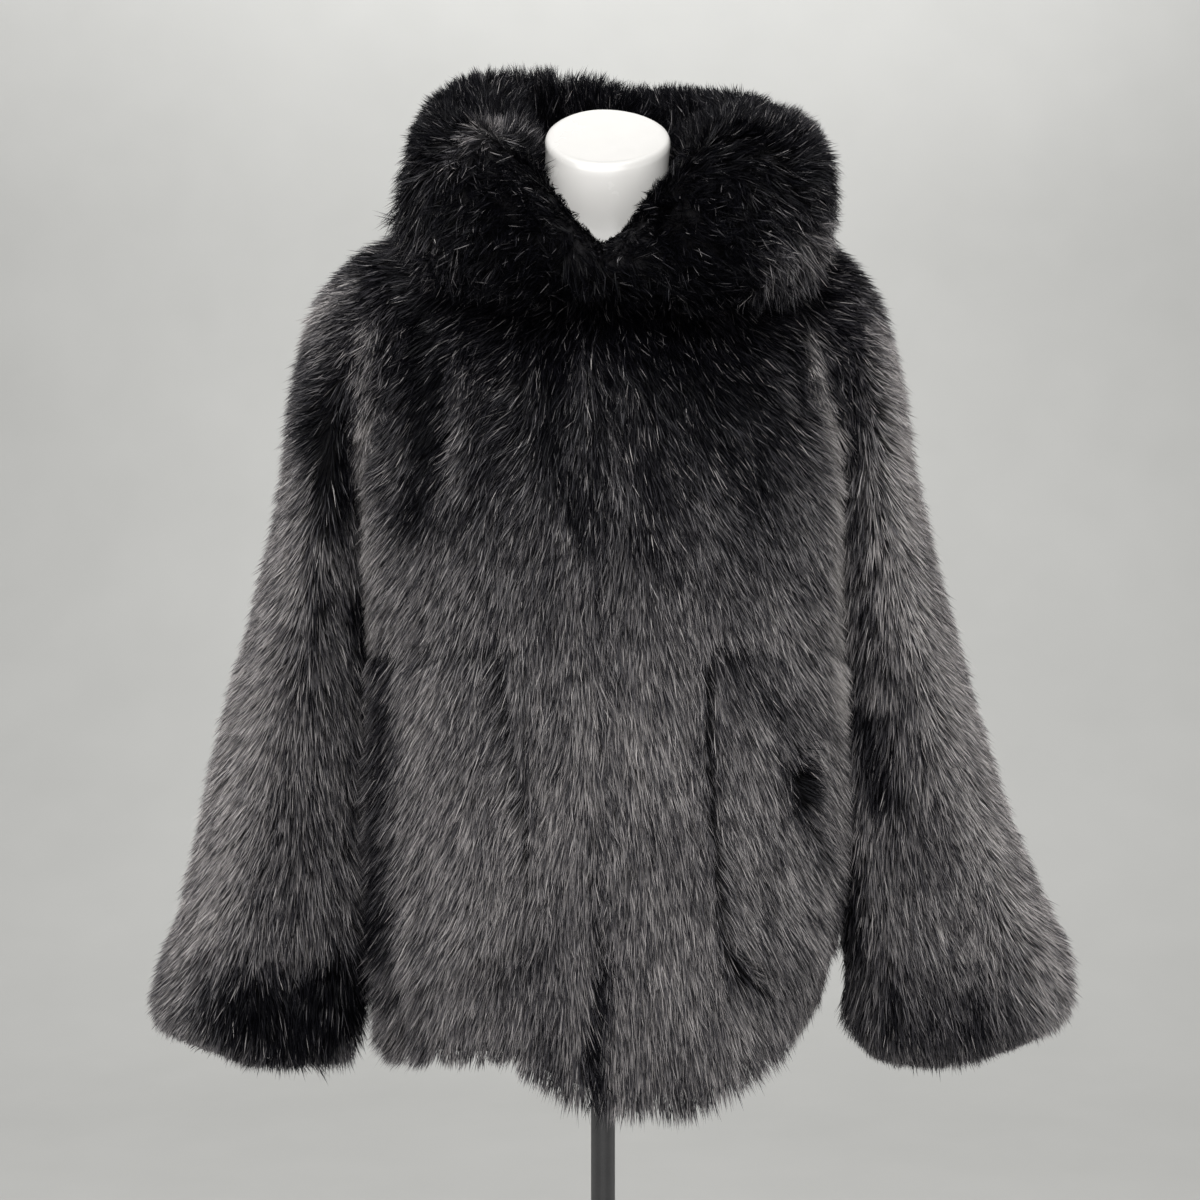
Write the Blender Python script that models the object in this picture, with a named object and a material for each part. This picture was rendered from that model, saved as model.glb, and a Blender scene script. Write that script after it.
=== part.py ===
"""Hooded long-pile fur jacket, closed at centre front, on a limbless dress form with a pole stand.

Metres, +Z up, +X to the right as the jacket is seen from the front, -Y towards the viewer.
The origin is the centre of the base's underside. Left and right in names are the wearer's, so
the wearer's left is +X. Every cloth piece is a wall round a surface that two numbers run over.
"""

import math
from collections import namedtuple

import bmesh
import bpy
import numpy as np

# Cloth: backing with the dense underfur that stands on it. The long pile is left to the finish.
CLOTH = 0.006
SEAM = 0.0003
HOOD_CLOTH = 0.006
POCKET_CLOTH = 0.005

# Angles run round the body or the neck: 0 centre front, 90 the side, 180 centre back.
FRONT_COLUMNS = 12
FORM_SEGMENTS = 48
SIDE = 90.0

# One closed loop round the body, from hem to neckline. Heights are those of the cloth's middle at
# centre front, side and centre back. squareness 2 is an ellipse, more is boxier.
Level = namedtuple("Level", "name front side back left right fore aft squareness")
COAT_LEVELS = (
    Level("hem", 0.612, 0.612, 0.612, 0.184, 0.176, 0.150, 0.135, 2.3),
    Level("skirt", 0.700, 0.700, 0.700, 0.193, 0.182, 0.152, 0.133, 2.4),
    Level("pocket foot", 0.790, 0.790, 0.790, 0.197, 0.185, 0.149, 0.129, 2.4),
    Level("hip", 0.880, 0.880, 0.880, 0.199, 0.189, 0.145, 0.126, 2.4),
    Level("waist", 0.980, 0.980, 0.980, 0.201, 0.195, 0.141, 0.124, 2.4),
    Level("chest", 1.060, 1.060, 1.060, 0.203, 0.203, 0.138, 0.124, 2.4),
    Level("underarm", 1.118, 1.118, 1.118, 0.204, 0.204, 0.136, 0.125, 2.4),
    Level("mid armhole", 1.205, 1.215, 1.215, 0.203, 0.203, 0.127, 0.122, 2.3),
    Level("high armhole", 1.250, 1.290, 1.285, 0.200, 0.200, 0.112, 0.113, 2.2),
    Level("shoulder tip", 1.275, 1.331, 1.325, 0.188, 0.188, 0.096, 0.100, 2.1),
    Level("mid shoulder", 1.292, 1.356, 1.350, 0.137, 0.137, 0.085, 0.087, 2.0),
    Level("neckline", 1.305, 1.376, 1.385, 0.086, 0.086, 0.078, 0.076, 2.0),
)
UNDERARM, TIP = 6.0, 9.0
SIDE_SEAM_ROWS = (0.0, 0.55, 1.1, 1.6, 2.1, 2.6, 3.2, 4.0, 5.0, 6.0)
SHOULDER_ROWS = (9.5, 10.0, 10.5, 11.0)
LOOP_LEAN = 1.5
FLAT_LEAN = 1.0

# Half the gap between the fronts, in degrees: they part slightly from a level down to the hem.
OPENING = 0.2
OPENING_AT_HEM = 1.2
OPENING_WIDENS_BELOW = 3.0

# How far the hem rises above its level, by signed angle (+ is the wearer's left).
HemRise = namedtuple("HemRise", "angle rise")
HEM_RISES = (
    HemRise(-180, 0.010),
    HemRise(-135, 0.012),
    HemRise(-90, 0.010),
    HemRise(-70, 0.014),
    HemRise(-45, 0.028),
    HemRise(-25, 0.032),
    HemRise(-10, 0.014),
    HemRise(0, 0.000),
    HemRise(15, -0.002),
    HemRise(30, 0.009),
    HemRise(45, 0.030),
    HemRise(60, 0.053),
    HemRise(90, 0.072),
    HemRise(135, 0.045),
    HemRise(180, 0.010),
)
HEM_FADE = 2.0

# The armhole is an ellipse in angle and level, from the underarm to the shoulder tip.
ARMHOLE_HALF_ANGLE = 35.0

# A sleeve's rings, each through an inner point against the body and an outer point away from it.
# right_out is how much further out the right sleeve's outer point hangs than the left's.
Ring = namedtuple("Ring", "name inner_x inner_z outer_x outer_z centre_y half_depth right_out")
SLEEVE_RINGS = (
    Ring("armhole", 0.2090, 1.118, 0.196, 1.336, 0.000, 0.080, 0.000),
    Ring("cap", 0.2135, 1.112, 0.220, 1.307, 0.000, 0.083, 0.006),
    Ring("head", 0.2145, 1.100, 0.237, 1.262, 0.000, 0.084, 0.009),
    Ring("upper", 0.2145, 1.075, 0.247, 1.203, -0.002, 0.084, 0.011),
    Ring("bicep", 0.2140, 1.035, 0.263, 1.119, -0.004, 0.083, 0.008),
    Ring("elbow", 0.2140, 0.975, 0.290, 1.020, -0.006, 0.080, 0.004),
    Ring("lower", 0.2150, 0.900, 0.317, 0.922, -0.008, 0.075, 0.004),
    Ring("forearm", 0.2160, 0.825, 0.345, 0.836, -0.010, 0.070, -0.004),
    Ring("cuff seam", 0.2180, 0.748, 0.379, 0.752, -0.012, 0.067, -0.018),
    Ring("cuff", 0.2220, 0.705, 0.399, 0.708, -0.012, 0.070, -0.022),
    Ring("cuff bulge", 0.2270, 0.662, 0.403, 0.664, -0.012, 0.070, -0.016),
    Ring("cuff roll", 0.2370, 0.630, 0.389, 0.642, -0.012, 0.061, -0.008),
    Ring("cuff mouth", 0.2530, 0.618, 0.369, 0.631, -0.012, 0.048, -0.006),
    Ring("cuff turned in", 0.2630, 0.632, 0.357, 0.642, -0.012, 0.040, -0.006),
    Ring("cuff hem inside", 0.2620, 0.664, 0.356, 0.670, -0.012, 0.041, -0.006),
)
SLEEVE_SEGMENTS = 18
CUFF_RING = 8
CUFF_SEAM_DROP = 0.035
CAP_RINGS = (0.5, 1.5)
CAP_REACH = 2.0
UNDERARM_ALLOWANCE = 0.9

# The hood lies open round the neck as a roll. Each section is cut by a plane through the neck's
# axis and is given as distance from the axis and height, from the neckline seam under the roll,
# out and over its crown, and down its inside to the neckline again.
HoodSection = namedtuple("HoodSection", "angle seam under fall outer high crown lip inner")
HOOD_SECTIONS = (
    HoodSection(0, (0.084, 1.312), (0.098, 1.306), (0.119, 1.286), (0.141, 1.286),
                (0.144, 1.300), (0.130, 1.311), (0.107, 1.318), (0.090, 1.322)),
    HoodSection(25, (0.085, 1.322), (0.106, 1.313), (0.148, 1.276), (0.174, 1.298),
                (0.169, 1.343), (0.134, 1.366), (0.099, 1.360), (0.082, 1.336)),
    HoodSection(50, (0.088, 1.350), (0.116, 1.342), (0.163, 1.292), (0.184, 1.325),
                (0.178, 1.389), (0.141, 1.413), (0.099, 1.402), (0.080, 1.368)),
    HoodSection(90, (0.088, 1.385), (0.120, 1.378), (0.163, 1.362), (0.179, 1.385),
                (0.176, 1.426), (0.151, 1.452), (0.108, 1.442), (0.080, 1.395)),
    HoodSection(110, (0.086, 1.389), (0.119, 1.382), (0.171, 1.356), (0.192, 1.372),
                (0.185, 1.440), (0.152, 1.476), (0.110, 1.462), (0.080, 1.402)),
    HoodSection(130, (0.084, 1.392), (0.116, 1.376), (0.180, 1.292), (0.201, 1.340),
                (0.188, 1.450), (0.152, 1.493), (0.112, 1.478), (0.080, 1.406)),
    HoodSection(180, (0.080, 1.394), (0.110, 1.362), (0.166, 1.236), (0.199, 1.290),
                (0.180, 1.448), (0.146, 1.500), (0.108, 1.484), (0.079, 1.408)),
)
# It leans towards the wearer's left as it goes out, and dips there as it goes up.
HOOD_SHIFT = 0.014
HOOD_SHIFT_FROM = 0.080
HOOD_SHIFT_TO = 0.180
HOOD_TILT = 0.060
HOOD_TILT_FROM = 1.400
HOOD_TILT_TO = 1.480
HOOD_COLUMNS = 24
HOOD_ROWS = 11
HOOD_SEAM_LEVEL = 10.85
HOOD_ENDS = (0.5, 179.85)

# Patch pockets: sewn to the fronts between rows and columns of the front's own grid, with the hand
# opening at the side. The inner lower corner is rounded, and the opening is cut in and stands off.
POCKET_ROW_SPAN = (2, 7)
POCKET_FIRST_COLUMN = {"left": 3, "right": 2}
POCKET_LAST_COLUMN = 11
POCKET_GAP = 0.0004
POCKET_CORNER = 0.55
POCKET_CORNER_COLUMNS = 3.0
POCKET_MOUTH_LEVEL = 2.5
POCKET_MOUTH_SPAN = 0.9
POCKET_MOUTH_CUT = 8.0
POCKET_MOUTH_LIFT = 0.004

# The dress form, hidden but for its neck: loops as for the coat, without its shoulders.
FORM_LEVELS = (
    Level("underside", 0.800, 0.800, 0.800, 0.138, 0.138, 0.094, 0.092, 2.0),
    Level("lower edge", 0.806, 0.806, 0.806, 0.149, 0.149, 0.104, 0.101, 2.0),
    Level("hip", 0.870, 0.870, 0.870, 0.163, 0.163, 0.114, 0.110, 2.0),
    Level("high hip", 0.945, 0.945, 0.945, 0.150, 0.150, 0.107, 0.099, 2.0),
    Level("waist", 1.015, 1.015, 1.015, 0.129, 0.129, 0.096, 0.086, 2.0),
    Level("ribs", 1.095, 1.095, 1.095, 0.136, 0.136, 0.104, 0.090, 2.0),
    Level("chest", 1.170, 1.172, 1.172, 0.149, 0.149, 0.106, 0.096, 2.0),
    Level("high chest", 1.225, 1.240, 1.240, 0.160, 0.160, 0.098, 0.097, 2.0),
    Level("shoulder end", 1.252, 1.292, 1.288, 0.164, 0.164, 0.084, 0.090, 2.0),
)
# Over its shoulders the form follows the coat's levels, each lower than the coat by a clearance.
FormShoulder = namedtuple("FormShoulder", "level clearance")
FORM_SHOULDERS = (
    FormShoulder(9.5, 0.0070),
    FormShoulder(10.0, 3 * SEAM),
    FormShoulder(10.5, 3 * SEAM),
    FormShoulder(11.0, 2 * SEAM),
)
FORM_NECK_LEVELS = (
    Level("neck base", 1.318, 1.384, 1.392, 0.063, 0.063, 0.061, 0.058, 2.0),
    Level("neck", 1.345, 1.402, 1.418, 0.056, 0.056, 0.050, 0.050, 2.0),
    Level("under cap", 1.390, 1.424, 1.452, 0.056, 0.056, 0.045, 0.045, 2.0),
    Level("cap edge", 1.399, 1.433, 1.467, 0.0565, 0.0565, 0.0435, 0.0435, 2.0),
    Level("cap face", 1.4045, 1.436, 1.4675, 0.0530, 0.0530, 0.0400, 0.0400, 2.0),
)

POLE_RADIUS = 0.0108
COLLAR_RADIUS = 0.026
COLLAR_HEIGHT = 0.034
COLLAR_BEVEL = 0.003
BASE_RADIUS = 0.175
BASE_THICKNESS = 0.012
BASE_FOOT_BEVEL = 0.002
BASE_RIM_BEVEL = 0.005
BOSS_RADIUS = 0.028
BOSS_TAPER = 0.006
BOSS_HEIGHT = 0.030

FUR = ((0.020, 0.019, 0.021), 0.75, 0.0)
GLOSS_WHITE = ((0.86, 0.86, 0.87), 0.15, 0.0)
DARK_METAL = ((0.09, 0.09, 0.095), 0.40, 0.8)


def clear_scene():
    for item in list(bpy.data.objects):
        bpy.data.objects.remove(item, do_unlink=True)


def material(name, finish):
    colour, roughness, metallic = finish
    made = bpy.data.materials.new(name)
    made.use_nodes = True
    shader = made.node_tree.nodes["Principled BSDF"]
    shader.inputs["Base Color"].default_value = (*colour, 1.0)
    shader.inputs["Roughness"].default_value = roughness
    shader.inputs["Metallic"].default_value = metallic
    return made


def add_object(name, vertices, faces, finish):
    mesh = bpy.data.meshes.new(name)
    mesh.from_pydata([tuple(map(float, v)) for v in vertices], [], faces)
    mesh.validate()
    mesh.shade_smooth()
    mesh.set_sharp_from_angle(angle=math.radians(40))
    mesh.materials.append(material(name, finish))
    made = bpy.data.objects.new(name, mesh)
    bpy.context.scene.collection.objects.link(made)
    return made


def curve_through(values, at):
    """Reads a smooth curve through the rows of values at the numbers at, counted in rows."""
    values = np.asarray(values, float)
    last = len(values) - 1
    at = np.clip(np.asarray(at, float), 0.0, last)
    low = np.minimum(at.astype(int), last - 1)
    part = (at - low)[..., None]
    before = values[np.maximum(low - 1, 0)]
    start = values[low]
    end = values[low + 1]
    after = values[np.minimum(low + 2, last)]
    slope_in = (end - before) / 2
    slope_out = (after - start) / 2
    return (
        start * (2 * part**3 - 3 * part**2 + 1)
        + slope_in * (part**3 - 2 * part**2 + part)
        + end * (3 * part**2 - 2 * part**3)
        + slope_out * (part**3 - part**2)
    )


def loop_point(numbers, angle, lean=LOOP_LEAN):
    """Points at an angle on loops whose numbers are a Level's, without its name."""
    front, side, back, left, right, fore, aft, squareness = np.moveaxis(numbers, -1, 0)
    across = np.sin(np.radians(angle))
    ahead = np.cos(np.radians(angle))
    power = 2.0 / squareness
    wide = np.where(across >= 0, left, right)
    deep = np.where(ahead >= 0, fore, aft)
    end = np.where(ahead >= 0, front, back)
    return np.stack(
        (
            wide * np.sign(across) * np.abs(across) ** power,
            -deep * np.sign(ahead) * np.abs(ahead) ** power,
            side + (end - side) * np.abs(ahead) ** lean,
        ),
        axis=-1,
    )


def body(angle, level):
    """The middle of the coat's body at a signed angle and a level, 0 hem to 11 neckline."""
    angle, level = np.broadcast_arrays(np.asarray(angle, float), np.asarray(level, float))
    points = loop_point(curve_through([row[1:] for row in COAT_LEVELS], level), angle)
    rise = np.interp(angle, [row.angle for row in HEM_RISES], [row.rise for row in HEM_RISES])
    points[..., 2] += rise * np.clip(1 - level / HEM_FADE, 0, 1) ** 1.5
    return points


def normal_of(surface, first, second):
    """Unit normals of a surface of two numbers, by small steps."""
    step = 1e-3
    along_first = surface(first + step, second) - surface(first - step, second)
    along_second = surface(first, second + step) - surface(first, second - step)
    normal = np.cross(along_first, along_second)
    return normal / np.linalg.norm(normal, axis=-1, keepdims=True)


def armhole_point(sign, turn):
    """A point of the armhole: turn 0 at the underarm, 90 in front, 180 at the shoulder tip."""
    angle = sign * (SIDE - ARMHOLE_HALF_ANGLE * np.sin(np.radians(turn)))
    middle, reach = (UNDERARM + TIP) / 2, (TIP - UNDERARM) / 2
    level = middle - reach * np.cos(np.radians(turn))
    return body(angle, level), outward(normal_of(body, angle, level), angle)


def sleeve(sign):
    """The middle of a sleeve with its cuff: turn round it, and rings down it from the armhole."""
    def tube(turn, ring):
        turn, ring = np.broadcast_arrays(np.asarray(turn, float), np.asarray(ring, float))
        rows = curve_through([row[1:] for row in SLEEVE_RINGS], ring)
        inner_x, inner_z, outer_x, outer_z, centre_y, half_depth, right_out = np.moveaxis(rows, -1, 0)
        outwards = (1 - np.cos(np.radians(turn))) / 2
        if sign < 0:
            outer_x = outer_x + right_out
        return np.stack(
            (
                sign * (inner_x + (outer_x - inner_x) * outwards),
                centre_y - half_depth * np.sin(np.radians(turn)),
                inner_z + (outer_z - inner_z) * outwards,
            ),
            axis=-1,
        )

    def surface(turn, ring):
        turn, ring = np.broadcast_arrays(np.asarray(turn, float), np.asarray(ring, float))
        sewn, outwards = armhole_point(sign, turn)
        start = sewn + outwards * (CLOTH / 2 + SEAM + CLOTH / 2 * sewn_flat(turn))
        fade = np.clip(1 - ring / CAP_REACH, 0, 1)[..., None] ** 2
        return tube(turn, ring) + (start - tube(turn, np.zeros_like(ring))) * fade

    return surface


def sewn_flat(turn):
    """1 where the sleeve runs on from the body's cloth, at the shoulder tip, and 0 where it butts."""
    up = -np.cos(np.radians(turn))
    return np.where(up > 0, np.sqrt(np.clip(up, 0, 1)), UNDERARM_ALLOWANCE * up**2)[..., None]


def hood_roll(angle, along):
    """The hood's roll at a signed angle round the neck, 0 to 7 along its section."""
    angle, along = np.broadcast_arrays(np.asarray(angle, float), np.asarray(along, float))
    angles = [row.angle for row in HOOD_SECTIONS]
    place = np.interp(np.abs(angle), angles, range(len(angles)))
    table = np.array([row[1:] for row in HOOD_SECTIONS])
    rows = curve_through(table.reshape(len(angles), -1), place)
    rows = rows.reshape(*place.shape, *table.shape[1:])
    flat_rows = rows.reshape(-1, *table.shape[1:])
    flat_along = along.reshape(-1)
    section = np.array([curve_through(r, a) for r, a in zip(flat_rows, flat_along, strict=True)])
    out, height = np.moveaxis(section.reshape(*along.shape, 2), -1, 0)
    shift = HOOD_SHIFT * (out - HOOD_SHIFT_FROM) / (HOOD_SHIFT_TO - HOOD_SHIFT_FROM)
    across, ahead = np.sin(np.radians(angle)), np.cos(np.radians(angle))
    sideways = out * across + shift * np.abs(across)
    raised = np.clip((height - HOOD_TILT_FROM) / (HOOD_TILT_TO - HOOD_TILT_FROM), 0, 1)
    return np.stack((sideways, -out * ahead, height - HOOD_TILT * sideways * raised), axis=-1)


def hood(angle, along):
    """The middle of the hood, with its first edge sewn on over the coat's neckline."""
    angle, along = np.broadcast_arrays(np.asarray(angle, float), np.asarray(along, float))
    level = np.full(angle.shape, HOOD_SEAM_LEVEL)
    outwards = outward(normal_of(body, angle, level), angle)
    sewn = body(angle, level) + outwards * ((CLOTH + HOOD_CLOTH) / 2 - SEAM)
    fade = np.clip(1 - along, 0, 1)[..., None] ** 2
    return hood_roll(angle, along) + (sewn - hood_roll(angle, np.zeros_like(along))) * fade


def wall(name, points, normals, thickness, finish, closed=False):
    """A closed solid of even thickness round a grid of points, open or closed in its columns."""
    rows, columns = points.shape[:2]
    half = normals * thickness / 2
    vertices = np.concatenate(((points + half).reshape(-1, 3), (points - half).reshape(-1, 3)))
    inside = rows * columns

    def at(row, column, layer):
        return layer * inside + row * columns + column % columns

    def edge(first, second):
        return [at(*first, 0), at(*second, 0), at(*second, 1), at(*first, 1)]

    faces = []
    spans = columns if closed else columns - 1
    for row in range(rows - 1):
        for column in range(spans):
            corners = ((row, column), (row, column + 1), (row + 1, column + 1), (row + 1, column))
            faces.append([at(*corner, 0) for corner in corners])
            faces.append([at(*corner, 1) for corner in reversed(corners)])
    for column in range(spans):
        faces.append(edge((0, column + 1), (0, column)))
        faces.append(edge((rows - 1, column), (rows - 1, column + 1)))
    if not closed:
        for row in range(rows - 1):
            faces.append(edge((row, 0), (row + 1, 0)))
            faces.append(edge((row + 1, columns - 1), (row, columns - 1)))
    made = add_object(name, vertices, faces, finish)
    face_outwards(made)
    return made


def face_outwards(made):
    """Turns every face out, whichever way its grid ran."""
    work = bmesh.new()
    work.from_mesh(made.data)
    bmesh.ops.recalc_face_normals(work, faces=work.faces)
    if work.calc_volume(signed=True) < 0:
        bmesh.ops.reverse_faces(work, faces=work.faces)
    work.to_mesh(made.data)
    work.free()


def panel_levels():
    """The rows of a body panel: up the side seam, round the armhole with the sleeve's points, then
    over the shoulder."""
    turns = np.radians(np.linspace(0, 180, SLEEVE_SEGMENTS // 2 + 1))
    beside = (UNDERARM + TIP) / 2 - (TIP - UNDERARM) / 2 * np.cos(turns)
    return np.concatenate((SIDE_SEAM_ROWS, beside[1:], SHOULDER_ROWS))


def armhole_angle(level):
    """How far from the side a panel stops at a level: the armhole's half width."""
    middle, reach = (UNDERARM + TIP) / 2, (TIP - UNDERARM) / 2
    return ARMHOLE_HALF_ANGLE * np.sqrt(np.clip(1 - ((level - middle) / reach) ** 2, 0, 1))


def seam_allowance(level):
    """Each panel's share of the side seam's gap, as an angle at a level."""
    numbers = curve_through([row[1:] for row in COAT_LEVELS], level)
    return np.degrees(SEAM / numbers[..., 5:7].min(axis=-1))


def front_opening(level):
    """Half the gap between the fronts as an angle at a level."""
    lowered = np.clip(1 - level / OPENING_WIDENS_BELOW, 0, 1)
    return OPENING + (OPENING_AT_HEM - OPENING) * lowered


def front_grid(sign):
    """The angles and levels of a front panel's grid."""
    levels = panel_levels()
    start = front_opening(levels)
    end = SIDE - armhole_angle(levels) - seam_allowance(levels)
    across = np.linspace(0, 1, FRONT_COLUMNS + 1)
    angle = sign * (start[:, None] + across[None, :] * (end - start)[:, None])
    return angle, np.broadcast_to(levels[:, None], angle.shape)


def build_panels():
    """The two fronts, from the centre to the side seams, and the back between the seams."""
    for name, sign in (("front_left", 1), ("front_right", -1)):
        angle, level = front_grid(sign)
        wall(name, body(angle, level), normal_of(body, angle, level), CLOTH, FUR)
    levels = panel_levels()
    start = SIDE + armhole_angle(levels) + seam_allowance(levels)
    across = np.linspace(0, 1, 2 * FRONT_COLUMNS + 1)
    angle = start[:, None] + across[None, :] * (360 - 2 * start)[:, None]
    level = np.broadcast_to(levels[:, None], angle.shape)
    wall("back", around(body, angle, level), normal_of_back(angle, level), CLOTH, FUR)


def around(surface, angle, level):
    """Reads a surface of signed angles at angles that run past centre back, as 0 to 360."""
    return surface(np.where(angle > 180, angle - 360, angle), level)


def normal_of_back(angle, level):
    return normal_of(lambda a, v: around(body, a, v), angle, level)


def build_pocket(side, sign):
    """A patch over the front panel: its points are the panel's, moved out."""
    rows = slice(POCKET_ROW_SPAN[0], POCKET_ROW_SPAN[1] + 1)
    first = POCKET_FIRST_COLUMN[side]
    angle, level = (grid[rows, first : POCKET_LAST_COLUMN + 1] for grid in front_grid(sign))
    column = np.arange(angle.shape[1])[None, :]
    row = np.arange(angle.shape[0])[:, None]
    corner = np.clip(1 - column / POCKET_CORNER_COLUMNS, 0, 1) * np.clip(1 - row / 2, 0, 1)
    level = level + POCKET_CORNER * corner
    mouth = np.clip(1 - ((level - POCKET_MOUTH_LEVEL) / POCKET_MOUTH_SPAN) ** 2, 0, 1)
    edge = (column / column.max()) ** 4
    angle = angle - sign * POCKET_MOUTH_CUT * mouth * edge
    lift = CLOTH / 2 + POCKET_GAP + POCKET_CLOTH / 2 + POCKET_MOUTH_LIFT * mouth * edge
    normals = outward(normal_of(body, angle, level), angle)
    points = body(angle, level) + normals * lift[..., None]
    wall(f"pocket_{side}", points, normals, POCKET_CLOTH, FUR)


def outward(normals, angle):
    """Turns normals of the body away from its axis."""
    away = np.stack((np.sin(np.radians(angle)), -np.cos(np.radians(angle))), axis=-1)
    facing = np.sign((normals[..., :2] * away).sum(axis=-1))
    return normals * facing[..., None]


def build_sleeve(side, sign):
    surface = sleeve(sign)
    turn = np.arange(SLEEVE_SEGMENTS) * 360.0 / SLEEVE_SEGMENTS
    gap = SEAM / 2 / CUFF_SEAM_DROP
    sleeve_rings = np.concatenate((np.arange(0, CUFF_RING, 1.0), CAP_RINGS, [CUFF_RING - gap]))
    sleeve_rings = np.sort(sleeve_rings)
    cuff_rings = np.concatenate(([CUFF_RING + gap], np.arange(CUFF_RING + 1, len(SLEEVE_RINGS), 1.0)))
    for name, rings in ((f"sleeve_{side}", sleeve_rings), (f"cuff_{side}", cuff_rings)):
        turns, ring = np.meshgrid(turn, rings)
        normals = normal_of(surface, turns, ring)
        wall(name, surface(turns, ring), normals, CLOTH, FUR, closed=True)


def build_hood(side, sign):
    """Half of the hood. Its end faces lie along the planes where the halves meet."""
    angle = sign * np.linspace(HOOD_ENDS[0], HOOD_ENDS[1], HOOD_COLUMNS + 1)[None, :]
    along = np.linspace(0, len(HoodSection._fields) - 2, HOOD_ROWS)[:, None]
    angles, alongs = np.broadcast_arrays(angle, along)
    normals = normal_of(hood, angles, alongs)
    normals[:, [0, -1], 0] = 0.0
    normals /= np.linalg.norm(normals, axis=-1, keepdims=True)
    wall(f"hood_{side}", hood(angles, alongs), normals, HOOD_CLOTH, FUR)


def form_loop(level_row, lean=LOOP_LEAN):
    angle = np.arange(FORM_SEGMENTS) * 360.0 / FORM_SEGMENTS
    signed = np.where(angle > 180, angle - 360, angle)
    numbers = np.array(level_row[1:], float)
    return loop_point(np.broadcast_to(numbers, (FORM_SEGMENTS, len(numbers))), signed, lean)


def form_under_coat(shoulder):
    """A loop of the form's shoulders: the coat's underside there, lower by the clearance."""
    angle = np.arange(FORM_SEGMENTS) * 360.0 / FORM_SEGMENTS
    signed = np.where(angle > 180, angle - 360, angle)
    levels = np.full(FORM_SEGMENTS, shoulder.level)
    normals = outward(normal_of(body, signed, levels), signed)
    return body(signed, levels) - normals * (CLOTH / 2 + shoulder.clearance)


def build_form():
    loops = [form_loop(row) for row in FORM_LEVELS]
    loops += [form_under_coat(shoulder) for shoulder in FORM_SHOULDERS]
    loops += [form_loop(row, FLAT_LEAN) for row in FORM_NECK_LEVELS]
    vertices = np.concatenate(loops)
    faces = []
    for low in range(len(loops) - 1):
        for column in range(FORM_SEGMENTS):
            after = (column + 1) % FORM_SEGMENTS
            first, second = low * FORM_SEGMENTS, (low + 1) * FORM_SEGMENTS
            faces.append([first + column, first + after, second + after, second + column])
    faces.append(list(range(FORM_SEGMENTS))[::-1])
    top = (len(loops) - 1) * FORM_SEGMENTS
    faces.append([top + column for column in range(FORM_SEGMENTS)])
    face_outwards(add_object("dress_form", vertices, faces, GLOSS_WHITE))


def turned(name, profile, finish, segments=48):
    """A solid turned round the Z axis from a profile of radii and heights, closed at both ends."""
    turn = np.radians(np.arange(segments) * 360.0 / segments)
    vertices = [
        (radius * math.cos(a), radius * math.sin(a), height) for radius, height in profile for a in turn
    ]
    faces = []
    for low in range(len(profile) - 1):
        for column in range(segments):
            after = (column + 1) % segments
            first, second = low * segments, (low + 1) * segments
            faces.append([first + column, first + after, second + after, second + column])
    faces.append(list(range(segments))[::-1])
    top = (len(profile) - 1) * segments
    faces.append([top + column for column in range(segments)])
    face_outwards(add_object(name, vertices, faces, finish))


def build_stand():
    underside = FORM_LEVELS[0].side
    collar_top = underside - SEAM
    collar_foot = collar_top - COLLAR_HEIGHT
    turned(
        "pole_collar",
        (
            (POLE_RADIUS + COLLAR_BEVEL, collar_foot),
            (COLLAR_RADIUS, collar_foot + 2 * COLLAR_BEVEL),
            (COLLAR_RADIUS, collar_top - COLLAR_BEVEL),
            (COLLAR_RADIUS + COLLAR_BEVEL, collar_top),
        ),
        DARK_METAL,
    )
    boss_top = BASE_THICKNESS + BOSS_HEIGHT
    turned(
        "pole",
        ((POLE_RADIUS, boss_top + SEAM), (POLE_RADIUS, collar_foot - SEAM)),
        DARK_METAL,
        segments=32,
    )
    turned(
        "base",
        (
            (BASE_RADIUS - BASE_FOOT_BEVEL, 0.0),
            (BASE_RADIUS, BASE_FOOT_BEVEL),
            (BASE_RADIUS, BASE_THICKNESS - BASE_RIM_BEVEL),
            (BASE_RADIUS - BASE_RIM_BEVEL, BASE_THICKNESS),
            (BOSS_RADIUS + BOSS_TAPER, BASE_THICKNESS),
            (BOSS_RADIUS, BASE_THICKNESS + BOSS_TAPER),
            (BOSS_RADIUS - BOSS_TAPER, boss_top),
        ),
        DARK_METAL,
        segments=64,
    )


def main():
    clear_scene()
    build_panels()
    for side, sign in (("left", 1), ("right", -1)):
        build_pocket(side, sign)
        build_sleeve(side, sign)
        build_hood(side, sign)
    build_form()
    build_stand()


main()
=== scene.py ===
"""Looks of a hooded jacket of long-pile faux fur on a limbless dress form with a pole stand.

The jacket is made as its maker makes it: backing cloth cut in panels, and a pile that grows out of
each panel. A panel is a thin shell on the form of its solid, with its folds pressed in. The pile is
a mesh of tapered hairs that grow in locks, combed down and outwards from the centre.

Metres, +Z up, -Y towards the viewer, +X towards the wearer's left, as in the model's own frame.
"""

import math
from collections import namedtuple

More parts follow.
